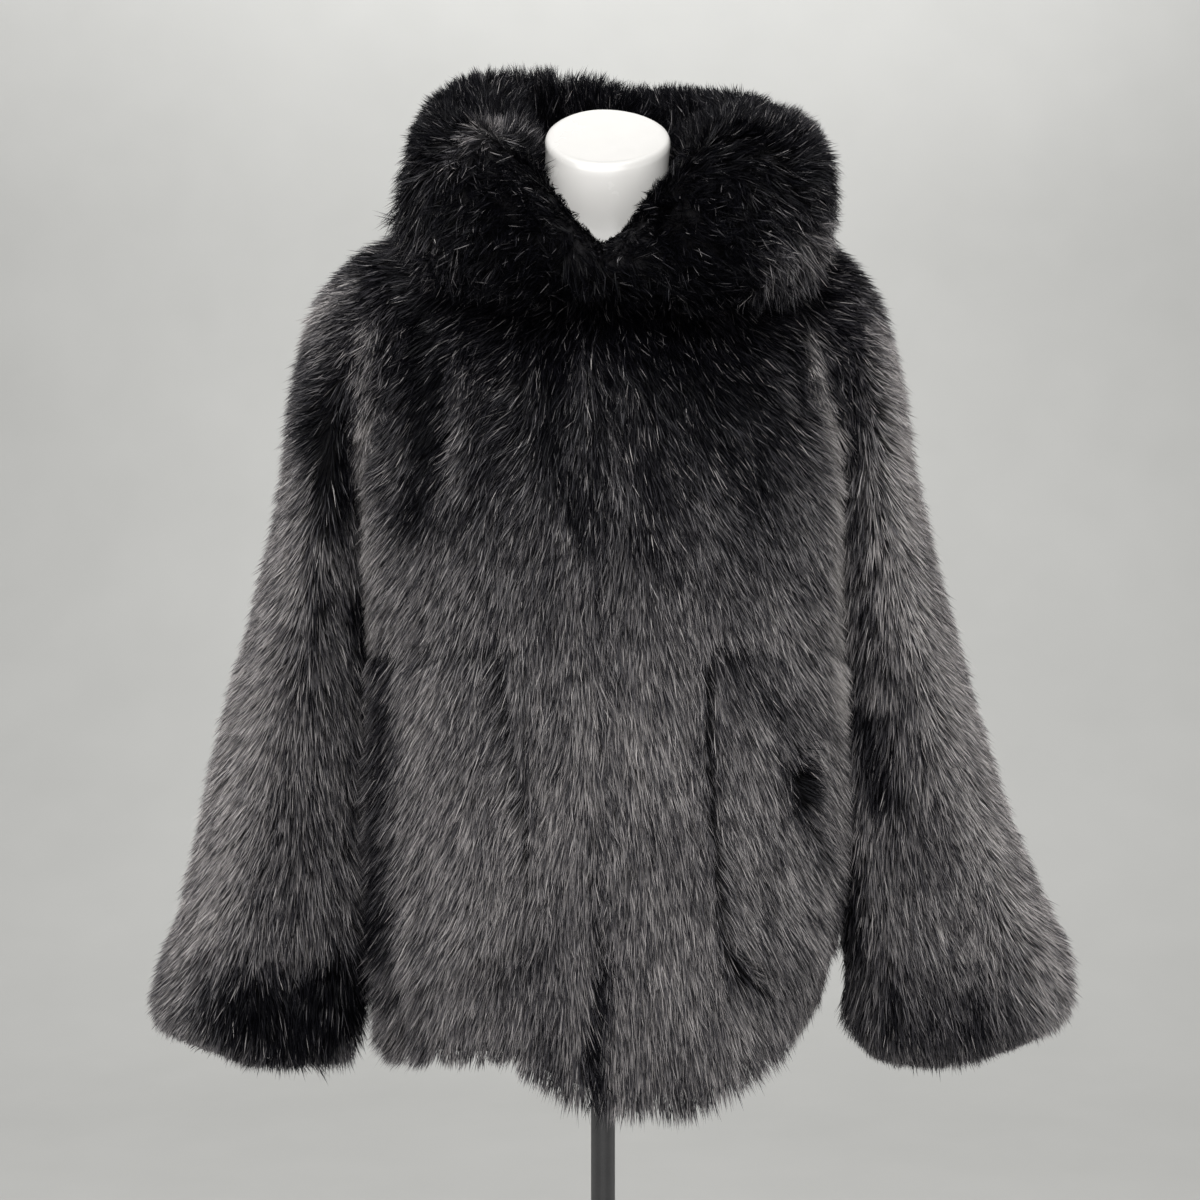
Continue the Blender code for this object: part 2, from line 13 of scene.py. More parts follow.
import bpy
import numpy as np
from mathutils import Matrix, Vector


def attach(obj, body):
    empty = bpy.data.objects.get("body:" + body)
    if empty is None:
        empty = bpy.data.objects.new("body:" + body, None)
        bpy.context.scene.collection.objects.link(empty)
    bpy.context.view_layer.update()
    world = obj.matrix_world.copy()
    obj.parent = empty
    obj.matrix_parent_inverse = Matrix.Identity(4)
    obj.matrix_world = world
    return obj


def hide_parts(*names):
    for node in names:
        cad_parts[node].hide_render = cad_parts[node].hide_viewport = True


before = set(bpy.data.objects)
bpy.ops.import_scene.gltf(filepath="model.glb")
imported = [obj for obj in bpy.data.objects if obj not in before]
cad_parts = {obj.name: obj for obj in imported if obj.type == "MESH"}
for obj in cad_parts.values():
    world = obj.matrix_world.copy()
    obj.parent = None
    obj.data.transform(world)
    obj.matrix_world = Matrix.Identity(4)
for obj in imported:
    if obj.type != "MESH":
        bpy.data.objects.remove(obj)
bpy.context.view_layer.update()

# ---------------------------------------------------------------------------------------------
# The camera: level with the chest, straight in front.
# ---------------------------------------------------------------------------------------------

PICTURE_SIDE = 1200
METRES_PER_PIXEL = 0.0009
CAMERA_HEIGHT = 1.02
CAMERA_DISTANCE = 1.9
CAMERA_X = -0.0027
SENSOR = 36.0


def place_camera():
    lens = SENSOR * CAMERA_DISTANCE / (PICTURE_SIDE * METRES_PER_PIXEL)
    data = bpy.data.cameras.new("camera")
    data.sensor_width = SENSOR
    data.lens = lens
    camera = bpy.data.objects.new("camera", data)
    camera.location = (CAMERA_X, -CAMERA_DISTANCE, CAMERA_HEIGHT)
    camera.rotation_euler = (math.radians(90), 0.0, 0.0)
    bpy.context.scene.collection.objects.link(camera)
    bpy.context.scene.camera = camera


# ---------------------------------------------------------------------------------------------
# The jacket's and the form's surfaces, from the same tables as their solids. Only the form's neck
# stands otherwise: its cap is 4 mm to the wearer's left of its solid and 2.5 mm higher.
# Angles run round the body or the neck: 0 centre front, 90 the side, 180 centre back.
# ---------------------------------------------------------------------------------------------

CLOTH = 0.006
HOOD_CLOTH = 0.006
POCKET_CLOTH = 0.005
SEAM = 0.0003
SIDE = 90.0

Level = namedtuple("Level", "name front side back left right fore aft squareness")
COAT_LEVELS = (
    Level("hem", 0.612, 0.612, 0.612, 0.184, 0.176, 0.150, 0.135, 2.3),
    Level("skirt", 0.700, 0.700, 0.700, 0.193, 0.182, 0.152, 0.133, 2.4),
    Level("pocket foot", 0.790, 0.790, 0.790, 0.197, 0.185, 0.149, 0.129, 2.4),
    Level("hip", 0.880, 0.880, 0.880, 0.199, 0.189, 0.145, 0.126, 2.4),
    Level("waist", 0.980, 0.980, 0.980, 0.201, 0.195, 0.141, 0.124, 2.4),
    Level("chest", 1.060, 1.060, 1.060, 0.203, 0.203, 0.138, 0.124, 2.4),
    Level("underarm", 1.118, 1.118, 1.118, 0.204, 0.204, 0.136, 0.125, 2.4),
    Level("mid armhole", 1.205, 1.215, 1.215, 0.203, 0.203, 0.127, 0.122, 2.3),
    Level("high armhole", 1.250, 1.290, 1.285, 0.200, 0.200, 0.112, 0.113, 2.2),
    Level("shoulder tip", 1.275, 1.331, 1.325, 0.188, 0.188, 0.096, 0.100, 2.1),
    Level("mid shoulder", 1.292, 1.356, 1.350, 0.137, 0.137, 0.085, 0.087, 2.0),
    Level("neckline", 1.305, 1.376, 1.385, 0.086, 0.086, 0.078, 0.076, 2.0),
)
UNDERARM, TIP, NECKLINE = 6.0, 9.0, 11.0
ARMHOLE_MIDDLE, ARMHOLE_REACH = (UNDERARM + TIP) / 2, (TIP - UNDERARM) / 2
ARMHOLE_HALF_ANGLE = 35.0
LOOP_LEAN = 1.5
OPENING = 0.2
OPENING_AT_HEM = 0.4
OPENING_WIDENS_BELOW = 3.0

HemRise = namedtuple("HemRise", "angle rise")
HEM_RISES = (
    HemRise(-180, 0.010),
    HemRise(-135, 0.012),
    HemRise(-90, 0.010),
    HemRise(-70, 0.014),
    HemRise(-45, 0.028),
    HemRise(-25, 0.032),
    HemRise(-10, 0.014),
    HemRise(0, 0.000),
    HemRise(15, -0.002),
    HemRise(30, 0.009),
    HemRise(45, 0.030),
    HemRise(60, 0.053),
    HemRise(90, 0.072),
    HemRise(135, 0.045),
    HemRise(180, 0.010),
)
HEM_FADE = 2.0
HEM_FADE_POWER = 1.5

Ring = namedtuple("Ring", "name inner_x inner_z outer_x outer_z centre_y half_depth right_out")
SLEEVE_RINGS = (
    Ring("armhole", 0.2090, 1.118, 0.196, 1.336, 0.000, 0.080, 0.000),
    Ring("cap", 0.2135, 1.112, 0.220, 1.307, 0.000, 0.083, 0.006),
    Ring("head", 0.2145, 1.100, 0.237, 1.262, 0.000, 0.084, 0.009),
    Ring("upper", 0.2145, 1.075, 0.247, 1.203, -0.002, 0.084, 0.011),
    Ring("bicep", 0.2140, 1.035, 0.263, 1.119, -0.004, 0.083, 0.008),
    Ring("elbow", 0.2140, 0.975, 0.290, 1.020, -0.006, 0.080, 0.004),
    Ring("lower", 0.2150, 0.900, 0.317, 0.922, -0.008, 0.075, 0.004),
    Ring("forearm", 0.2160, 0.825, 0.345, 0.836, -0.010, 0.070, -0.004),
    Ring("cuff seam", 0.2180, 0.748, 0.379, 0.752, -0.012, 0.067, -0.018),
    Ring("cuff", 0.2220, 0.705, 0.399, 0.708, -0.012, 0.070, -0.022),
    Ring("cuff bulge", 0.2270, 0.662, 0.403, 0.664, -0.012, 0.070, -0.016),
    Ring("cuff roll", 0.2370, 0.630, 0.389, 0.642, -0.012, 0.061, -0.008),
    Ring("cuff mouth", 0.2530, 0.618, 0.369, 0.631, -0.012, 0.048, -0.006),
    Ring("cuff turned in", 0.2630, 0.632, 0.357, 0.642, -0.012, 0.040, -0.006),
    Ring("cuff hem inside", 0.2620, 0.664, 0.356, 0.670, -0.012, 0.041, -0.006),
)
CUFF_RING = 8.0
LAST_RING = 14.0
CAP_REACH = 2.0
UNDERARM_ALLOWANCE = 0.9

HoodSection = namedtuple("HoodSection", "angle seam under fall outer high crown lip inner")
HOOD_SECTIONS = (
    HoodSection(0, (0.084, 1.312), (0.098, 1.306), (0.119, 1.286), (0.141, 1.286),
                (0.144, 1.300), (0.130, 1.311), (0.107, 1.318), (0.090, 1.322)),
    HoodSection(25, (0.085, 1.322), (0.106, 1.313), (0.148, 1.276), (0.174, 1.298),
                (0.169, 1.343), (0.134, 1.366), (0.099, 1.360), (0.082, 1.336)),
    HoodSection(50, (0.088, 1.350), (0.116, 1.342), (0.163, 1.292), (0.184, 1.325),
                (0.178, 1.389), (0.141, 1.413), (0.099, 1.402), (0.080, 1.368)),
    HoodSection(90, (0.088, 1.385), (0.120, 1.378), (0.163, 1.362), (0.179, 1.385),
                (0.176, 1.426), (0.151, 1.452), (0.108, 1.442), (0.080, 1.395)),
    HoodSection(110, (0.086, 1.389), (0.119, 1.382), (0.171, 1.356), (0.192, 1.372),
                (0.185, 1.440), (0.152, 1.476), (0.110, 1.462), (0.080, 1.402)),
    HoodSection(130, (0.084, 1.392), (0.116, 1.376), (0.180, 1.292), (0.201, 1.340),
                (0.188, 1.450), (0.152, 1.493), (0.112, 1.478), (0.080, 1.406)),
    HoodSection(180, (0.080, 1.394), (0.110, 1.362), (0.166, 1.236), (0.199, 1.290),
                (0.180, 1.448), (0.146, 1.500), (0.108, 1.484), (0.079, 1.408)),
)
HOOD_SHIFT = 0.014
HOOD_SHIFT_FROM = 0.080
HOOD_SHIFT_TO = 0.180
HOOD_TILT = 0.060
HOOD_TILT_FROM = 1.400
HOOD_TILT_TO = 1.480
HOOD_SEAM_LEVEL = 10.85
HOOD_ENDS = (0.1, 179.95)
HOOD_LAST = 7.0

POCKET_LEVELS = (1.1, 4.0)
POCKET_FIRST = {"left": 0.25, "right": 2 / 12}
POCKET_LAST = 11 / 12
POCKET_GAP = 0.0004
POCKET_CORNER = 0.55
POCKET_CORNER_NARROWS = 2.6
POCKET_CORNER_LOWERS = 2.5
POCKET_MOUTH_LEVEL = 2.5
POCKET_MOUTH_SPAN = 0.9
POCKET_MOUTH_CUT = 8.0
POCKET_MOUTH_POWER = 4
POCKET_MOUTH_LIFT = 0.004

FORM_LEVELS = (
    Level("underside", 0.800, 0.800, 0.800, 0.138, 0.138, 0.094, 0.092, 2.0),
    Level("lower edge", 0.806, 0.806, 0.806, 0.149, 0.149, 0.104, 0.101, 2.0),
    Level("hip", 0.870, 0.870, 0.870, 0.163, 0.163, 0.114, 0.110, 2.0),
    Level("high hip", 0.945, 0.945, 0.945, 0.150, 0.150, 0.107, 0.099, 2.0),
    Level("waist", 1.015, 1.015, 1.015, 0.129, 0.129, 0.096, 0.086, 2.0),
    Level("ribs", 1.095, 1.095, 1.095, 0.136, 0.136, 0.104, 0.090, 2.0),
    Level("chest", 1.170, 1.172, 1.172, 0.149, 0.149, 0.106, 0.096, 2.0),
    Level("high chest", 1.225, 1.240, 1.240, 0.160, 0.160, 0.098, 0.097, 2.0),
    Level("shoulder end", 1.252, 1.292, 1.288, 0.164, 0.164, 0.084, 0.090, 2.0),
)
FormShoulder = namedtuple("FormShoulder", "level clearance")
FORM_SHOULDERS = (
    FormShoulder(9.5, 0.0070),
    FormShoulder(10.0, 3 * SEAM),
    FormShoulder(10.5, 3 * SEAM),
    FormShoulder(11.0, 2 * SEAM),
)
FORM_NECK_LEVELS = (
    Level("neck base", 1.318, 1.384, 1.392, 0.063, 0.063, 0.061, 0.058, 2.0),
    Level("neck", 1.345, 1.402, 1.418, 0.0585, 0.0535, 0.050, 0.050, 2.0),
    Level("under cap", 1.3905, 1.4245, 1.4525, 0.0602, 0.0518, 0.045, 0.045, 2.0),
    Level("cap edge", 1.3985, 1.4320, 1.4655, 0.0607, 0.0523, 0.0435, 0.0435, 2.0),
    Level("cap bend", 1.4045, 1.4370, 1.4695, 0.0587, 0.0503, 0.0415, 0.0415, 2.0),
    Level("cap face", 1.4070, 1.4385, 1.4700, 0.0537, 0.0453, 0.0370, 0.0370, 2.0),
)
FLAT_LEAN = 1.0
CAP_SHARES = (0.9, 0.6, 0.3, 0.02)
FORM_SEGMENTS = 72
FORM_ROWS_A_LOOP = 3

SMALL_STEP = 1e-3
TINY = 1e-12


def hermite(before, start, end, after, part):
    slope_in = (end - before) / 2
    slope_out = (after - start) / 2
    return (
        start * (2 * part**3 - 3 * part**2 + 1)
        + slope_in * (part**3 - 2 * part**2 + part)
        + end * (3 * part**2 - 2 * part**3)
        + slope_out * (part**3 - part**2)
    )


def numbers_of(rows):
    """Named rows without their names."""
    return [row[1:] for row in rows]


def curve_through(values, at):
    """Reads a smooth curve through the rows of values at the numbers at, counted in rows."""
    values = np.asarray(values, float)
    last = len(values) - 1
    at = np.clip(np.asarray(at, float), 0.0, last)
    low = np.minimum(at.astype(int), last - 1)
    before = values[np.maximum(low - 1, 0)]
    after = values[np.minimum(low + 2, last)]
    return hermite(before, values[low], values[low + 1], after, (at - low)[..., None])


def curve_through_each(tables, at):
    """Reads each of many curves, the rows of one table each, at one number of its own."""
    last = tables.shape[1] - 1
    at = np.clip(at, 0.0, last)
    low = np.minimum(at.astype(int), last - 1)
    pick = np.arange(len(at))
    before = tables[pick, np.maximum(low - 1, 0)]
    after = tables[pick, np.minimum(low + 2, last)]
    part = (at - low)[:, None]
    return hermite(before, tables[pick, low], tables[pick, low + 1], after, part)


def loop_point(numbers, angle, lean=LOOP_LEAN):
    """Points at an angle on loops whose numbers are a Level's, without its name."""
    front, side, back, left, right, fore, aft, squareness = np.moveaxis(numbers, -1, 0)
    across = np.sin(np.radians(angle))
    ahead = np.cos(np.radians(angle))
    power = 2.0 / squareness
    wide = np.where(across >= 0, left, right)
    deep = np.where(ahead >= 0, fore, aft)
    end = np.where(ahead >= 0, front, back)
    return np.stack(
        (
            wide * np.sign(across) * np.abs(across) ** power,
            -deep * np.sign(ahead) * np.abs(ahead) ** power,
            side + (end - side) * np.abs(ahead) ** lean,
        ),
        axis=-1,
    )


def body(angle, level):
    """The middle of the jacket's body at a signed angle and a level, 0 hem to 11 neckline."""
    angle, level = np.broadcast_arrays(np.asarray(angle, float), np.asarray(level, float))
    signed = np.where(angle > 180, angle - 360, angle)
    points = loop_point(curve_through(numbers_of(COAT_LEVELS), level), signed)
    rise = np.interp(signed, [row.angle for row in HEM_RISES], [row.rise for row in HEM_RISES])
    points[..., 2] += rise * np.clip(1 - level / HEM_FADE, 0, 1) ** HEM_FADE_POWER
    return points


def normal_of(surface, first, second):
    """Unit normals of a surface of two numbers, by small steps."""
    along_first = surface(first + SMALL_STEP, second) - surface(first - SMALL_STEP, second)
    along_second = surface(first, second + SMALL_STEP) - surface(first, second - SMALL_STEP)
    return unit(np.cross(along_first, along_second))


def unit(vectors):
    return vectors / np.maximum(np.linalg.norm(vectors, axis=-1, keepdims=True), TINY)


def outward(normals, angle):
    """Turns normals of the body away from its axis."""
    away = np.stack((np.sin(np.radians(angle)), -np.cos(np.radians(angle))), axis=-1)
    return normals * np.sign((normals[..., :2] * away).sum(axis=-1))[..., None]


def armhole_width(level):
    """Half the armhole's width at a level, as an angle."""
    away = (level - ARMHOLE_MIDDLE) / ARMHOLE_REACH
    return ARMHOLE_HALF_ANGLE * np.sqrt(np.clip(1 - away**2, 0, 1))


def seam_allowance(level):
    """Each panel's share of the side seam's gap, as an angle at a level."""
    *_, fore, aft, _ = np.moveaxis(curve_through(numbers_of(COAT_LEVELS), level), -1, 0)
    return np.degrees(SEAM / np.minimum(fore, aft))


def front_opening(level):
    """Half the gap between the fronts as an angle at a level."""
    lowered = np.clip(1 - level / OPENING_WIDENS_BELOW, 0, 1)
    return OPENING + (OPENING_AT_HEM - OPENING) * lowered


def armhole_point(sign, turn):
    """A point of the armhole: turn 0 at the underarm, 90 in front, 180 at the shoulder tip."""
    angle = sign * (SIDE - ARMHOLE_HALF_ANGLE * np.sin(np.radians(turn)))
    level = ARMHOLE_MIDDLE - ARMHOLE_REACH * np.cos(np.radians(turn))
    return body(angle, level), outward(normal_of(body, angle, level), angle)


def sleeve(sign):
    """The middle of a sleeve with its cuff: turn round it, and rings down it from the armhole."""

    def tube(turn, ring):
        rows = np.moveaxis(curve_through(numbers_of(SLEEVE_RINGS), ring), -1, 0)
        inner_x, inner_z, outer_x, outer_z, centre_y, half_depth, right_out = rows
        outwards = (1 - np.cos(np.radians(turn))) / 2
        if sign < 0:
            outer_x = outer_x + right_out
        return np.stack(
            (
                sign * (inner_x + (outer_x - inner_x) * outwards),
                centre_y - half_depth * np.sin(np.radians(turn)),
                inner_z + (outer_z - inner_z) * outwards,
            ),
            axis=-1,
        )

    def surface(turn, ring):
        turn, ring = np.broadcast_arrays(np.asarray(turn, float), np.asarray(ring, float))
        sewn, outwards = armhole_point(sign, turn)
        up = -np.cos(np.radians(turn))
        flat = np.where(up > 0, np.sqrt(np.clip(up, 0, 1)), UNDERARM_ALLOWANCE * up**2)[..., None]
        start = sewn + outwards * (CLOTH / 2 + SEAM + CLOTH / 2 * flat)
        fade = np.clip(1 - ring / CAP_REACH, 0, 1)[..., None] ** 2
        return tube(turn, ring) + (start - tube(turn, np.zeros_like(ring))) * fade

    return surface


def hood_roll(angle, along):
    """The hood's roll at a signed angle round the neck, 0 to 7 along its section."""
    angle, along = np.broadcast_arrays(np.asarray(angle, float), np.asarray(along, float))
    angles = [row.angle for row in HOOD_SECTIONS]
    place = np.interp(np.abs(angle), angles, range(len(angles)))
    table = np.array(numbers_of(HOOD_SECTIONS))
    rows = curve_through(table.reshape(len(angles), -1), place).reshape(-1, *table.shape[1:])
    section = curve_through_each(rows, along.reshape(-1)).reshape(*along.shape, 2)
    out, height = np.moveaxis(section, -1, 0)
    shift = HOOD_SHIFT * (out - HOOD_SHIFT_FROM) / (HOOD_SHIFT_TO - HOOD_SHIFT_FROM)
    across, ahead = np.sin(np.radians(angle)), np.cos(np.radians(angle))
    sideways = out * across + shift * np.abs(across)
    raised = np.clip((height - HOOD_TILT_FROM) / (HOOD_TILT_TO - HOOD_TILT_FROM), 0, 1)
    return np.stack((sideways, -out * ahead, height - HOOD_TILT * sideways * raised), axis=-1)


def hood(angle, along):
    """The middle of the hood, with its first edge sewn on over the neckline."""
    angle, along = np.broadcast_arrays(np.asarray(angle, float), np.asarray(along, float))
    level = np.full(angle.shape, HOOD_SEAM_LEVEL)
    outwards = outward(normal_of(body, angle, level), angle)
    sewn = body(angle, level) + outwards * ((CLOTH + HOOD_CLOTH) / 2 - SEAM)
    fade = np.clip(1 - along, 0, 1)[..., None] ** 2
    return hood_roll(angle, along) + (sewn - hood_roll(angle, np.zeros_like(along))) * fade


# ---------------------------------------------------------------------------------------------
# Folds. Each runs along a line on its surface, in that surface's two numbers. depth is how far
# the cloth moves out of its plain form, minus for a trough, and width is half the fold's width.
# The pairs of METRES turn a surface's two numbers into lengths on it.
# ---------------------------------------------------------------------------------------------

FOLD_END = 0.05
FOLD_TAPER = 0.6

Fold = namedtuple("Fold", "first_from second_from first_to second_to depth width")
BODY_METRES = (0.0032, 0.085)
BODY_FOLDS = (
    # left front, the viewer's right
    Fold(50, 8.2, 44, 4.6, -0.007, 0.016),
    Fold(62, 7.6, 60, 3.8, 0.006, 0.020),
    Fold(30, 8.6, 34, 5.6, -0.005, 0.018),
    Fold(16, 3.4, 20, 0.0, 0.006, 0.020),
    Fold(36, 2.2, 40, 0.0, -0.007, 0.018),
    Fold(58, 1.9, 63, 0.0, 0.005, 0.015),
    # right front, the viewer's left
    Fold(-44, 8.3, -52, 4.8, -0.008, 0.017),
    Fold(-34, 8.0, -37, 5.2, 0.007, 0.015),
    Fold(-66, 7.5, -62, 4.0, 0.005, 0.018),
    Fold(-14, 3.0, -18, 0.0, -0.006, 0.018),
    Fold(-33, 2.4, -38, 0.0, 0.006, 0.022),
    Fold(-58, 1.8, -56, 0.0, -0.006, 0.016),
    # back
    Fold(122, 8.0, 128, 4.2, -0.007, 0.020),
    Fold(146, 7.2, 150, 2.6, 0.006, 0.026),
    Fold(168, 4.6, 164, 0.0, -0.007, 0.022),
    Fold(196, 8.0, 192, 3.0, 0.005, 0.024),
    Fold(206, 3.8, 211, 0.0, 0.007, 0.022),
    Fold(232, 8.0, 228, 4.0, -0.008, 0.018),
    Fold(240, 3.2, 244, 0.0, -0.006, 0.020),
    Fold(112, 2.6, 116, 0.0, 0.006, 0.018),
)
SLEEVE_METRES = (0.0014, 0.085)
SLEEVE_FOLDS = {
    1: (
        Fold(70, 0.8, 62, 4.6, -0.005, 0.016),
        Fold(108, 1.2, 100, 6.4, 0.006, 0.015),
        Fold(48, 4.4, 58, 8.0, -0.009, 0.018),
        Fold(88, 5.4, 84, 9.4, -0.005, 0.013),
        Fold(128, 4.2, 122, 8.8, 0.005, 0.016),
        Fold(232, 0.8, 240, 5.4, -0.006, 0.018),
        Fold(268, 3.0, 262, 8.4, 0.006, 0.020),
        Fold(300, 4.8, 292, 9.0, -0.007, 0.018),
        Fold(76, 9.0, 92, 11.2, -0.007, 0.020),
        Fold(124, 9.4, 132, 11.6, 0.005, 0.018),
        Fold(250, 9.0, 256, 11.4, -0.006, 0.020),
    ),
    -1: (
        Fold(64, 0.8, 52, 4.8, -0.008, 0.016),
        Fold(98, 1.4, 88, 5.8, 0.006, 0.016),
        Fold(54, 4.6, 46, 8.2, -0.006, 0.018),
        Fold(112, 4.0, 96, 8.4, 0.006, 0.018),
        Fold(132, 2.4, 140, 7.4, -0.004, 0.015),
        Fold(236, 1.0, 228, 5.8, -0.006, 0.018),
        Fold(272, 2.6, 280, 7.6, 0.007, 0.020),
        Fold(306, 5.0, 300, 9.0, -0.006, 0.016),
        Fold(60, 8.6, 70, 11.0, -0.011, 0.024),
        Fold(112, 9.2, 104, 11.4, 0.006, 0.020),
        Fold(262, 9.2, 248, 11.4, -0.006, 0.018),
    ),
}
HOOD_METRES = (0.0024, 0.034)
HOOD_FOLDS = {
    1: (
        Fold(34, 3.2, 62, 4.9, -0.006, 0.013),
        Fold(22, 4.6, 50, 5.6, 0.006, 0.012),
        Fold(72, 2.6, 84, 4.8, -0.005, 0.014),
        Fold(100, 3.4, 128, 4.6, -0.006, 0.018),
        Fold(148, 2.2, 158, 4.6, 0.007, 0.018),
        Fold(62, 6.4, 118, 6.3, 0.009, 0.012),
        Fold(58, 5.5, 112, 5.4, -0.009, 0.013),
    ),
    -1: (
        Fold(30, 3.4, 66, 5.0, -0.007, 0.012),
        Fold(36, 4.6, 70, 5.5, 0.007, 0.013),
        Fold(78, 2.6, 92, 4.6, -0.005, 0.015),
        Fold(112, 3.0, 120, 5.0, 0.006, 0.016),
        Fold(140, 2.4, 162, 4.4, -0.007, 0.018),
        Fold(60, 6.4, 120, 6.3, 0.013, 0.013),
        Fold(54, 5.5, 116, 5.4, -0.013, 0.014),
    ),
}


def fold_heights(folds, metres, first, second):
    """How far the folds move each point of a surface: soft ridges and troughs with tapered ends."""
    place = np.stack((first * metres[0], second * metres[1]), axis=-1)
    height = np.zeros(first.shape)
    for fold in folds:
        start = np.array((fold.first_from * metres[0], fold.second_from * metres[1]))
        line = np.array((fold.first_to * metres[0], fold.second_to * metres[1])) - start
        along = ((place - start) @ line) / (line @ line)
        nearest = start + np.clip(along, 0, 1)[..., None] * line
        away = np.linalg.norm(place - nearest, axis=-1)
        part = np.clip(along * (1 - 2 * FOLD_END) + FOLD_END, 0, 1)
        taper = np.sin(np.pi * part) ** FOLD_TAPER
        height += fold.depth * taper * np.exp(-((away / fold.width) ** 2))
    return height


# ---------------------------------------------------------------------------------------------
# Panels: a grid of points for each cut piece, with its normals.
# ---------------------------------------------------------------------------------------------

BODY_ROWS, FRONT_COLUMNS, BACK_COLUMNS = 46, 26, 48
ARMHOLE_ROWS = (6.02, 6.06, 6.14, 8.86, 8.94, 8.98)
POCKET_ROWS, POCKET_COLUMNS = 24, 18
SLEEVE_ROWS, CUFF_ROWS, SLEEVE_COLUMNS = 36, 22, 36
HOOD_ROWS, HOOD_COLUMNS = 32, 44

# first and second are the surface's two numbers at each grid point; closed runs round in columns.
Panel = namedtuple("Panel", "name first second points normals closed")


def grid_normals(points, closed, centres):
    """Normals of a grid of points, turned away from the centres."""
    if closed:
        wrapped = np.concatenate((points[:, -1:], points, points[:, :1]), axis=1)
        across = (wrapped[:, 2:] - wrapped[:, :-2]) / 2
    else:
        across = np.gradient(points, axis=1)
    normals = unit(np.cross(across, np.gradient(points, axis=0)))
    facing = np.sign((normals * (points - centres)).sum(axis=-1, keepdims=True))
    return normals * facing


def make_panel(name, surface, first, second, heights, closed, centre_of):
    """A panel with its folds: heights are how far each point moves out of the plain surface."""
    plain = surface(first, second)
    centres = centre_of(plain)
    points = plain + grid_normals(plain, closed, centres) * heights[..., None]
    return Panel(name, first, second, points, grid_normals(points, closed, centres), closed)


def body_axis(points):
    return points * (0, 0, 1)


def row_middles(points):
    return np.broadcast_to(points.mean(axis=1, keepdims=True), points.shape)


def column_middles(points):
    return np.broadcast_to(points.mean(axis=0, keepdims=True), points.shape)


def front_span(sign, across, levels):
    """Angles across a front panel, where across runs from 0 at the centre to 1 at its side edge."""
    start = front_opening(levels)
    end = SIDE - armhole_width(levels) - seam_allowance(levels)
    return sign * (start[:, None] + across * (end - start)[:, None])


def body_levels(rows):
    """Levels from hem to neckline, with more where the armhole's edge curves fast."""
    return np.sort(np.concatenate((np.linspace(0, NECKLINE, rows), ARMHOLE_ROWS)))


def body_panels():
    """The two fronts and the back."""
    levels = body_levels(BODY_ROWS)
    across = np.linspace(0, 1, FRONT_COLUMNS)[None, :]
    start = SIDE + armhole_width(levels) + seam_allowance(levels)
    across_back = np.linspace(0, 1, BACK_COLUMNS)[None, :]
    made = []
    for name, angle in (
        ("front_left", front_span(1, across, levels)),
        ("front_right", front_span(-1, across, levels)),
        ("back", start[:, None] + across_back * (360 - 2 * start)[:, None]),
    ):
        level = np.broadcast_to(levels[:, None], angle.shape)
        heights = fold_heights(BODY_FOLDS, BODY_METRES, angle, level)
        made.append(make_panel(name, body, angle, level, heights, False, body_axis))
    return made


def pocket_panel(side, sign):
    """A patch over the front panel, sewn flat but for its lifted mouth."""
    across = np.linspace(POCKET_FIRST[side], POCKET_LAST, POCKET_COLUMNS)[None, :]
    levels = np.linspace(*POCKET_LEVELS, POCKET_ROWS)
    share = (across - across.min()) / np.ptp(across)
    rise = (levels[:, None] - levels[0]) / np.ptp(levels)
    corner = np.clip(1 - share * POCKET_CORNER_NARROWS, 0, 1)
    corner = corner * np.clip(1 - rise * POCKET_CORNER_LOWERS, 0, 1)
    angle = front_span(sign, across, levels)
    level = levels[:, None] + POCKET_CORNER * corner
    off_mouth = (level - POCKET_MOUTH_LEVEL) / POCKET_MOUTH_SPAN
    mouth = np.clip(1 - off_mouth**2, 0, 1) * share**POCKET_MOUTH_POWER
    angle = angle - sign * POCKET_MOUTH_CUT * mouth
    lift = (CLOTH + POCKET_CLOTH) / 2 + POCKET_GAP + POCKET_MOUTH_LIFT * mouth
    heights = lift + fold_heights(BODY_FOLDS, BODY_METRES, angle, level)
    return make_panel(f"pocket_{side}", body, angle, level, heights, False, body_axis)


def sleeve_panels(side, sign):
    surface = sleeve(sign)
    made = []
    for name, start, end, rows in (
        (f"sleeve_{side}", 0.0, CUFF_RING - SEAM, SLEEVE_ROWS),
        (f"cuff_{side}", CUFF_RING + SEAM, LAST_RING, CUFF_ROWS),
    ):
        turn = np.arange(SLEEVE_COLUMNS) * 360.0 / SLEEVE_COLUMNS
        turns, rings = np.meshgrid(turn, np.linspace(start, end, rows))
        heights = fold_heights(SLEEVE_FOLDS[sign], SLEEVE_METRES, turns, rings)
        made.append(make_panel(name, surface, turns, rings, heights, True, row_middles))
    return made


def hood_panel(side, sign):
    angle = sign * np.linspace(*HOOD_ENDS, HOOD_COLUMNS)[None, :]
    along = np.linspace(0, HOOD_LAST, HOOD_ROWS)[:, None]
    angles, alongs = np.broadcast_arrays(angle, along)
    heights = fold_heights(HOOD_FOLDS[sign], HOOD_METRES, np.abs(angles), alongs)
    return make_panel(f"hood_{side}", hood, angles, alongs, heights, False, column_middles)


# ---------------------------------------------------------------------------------------------
# Meshes.
# ---------------------------------------------------------------------------------------------

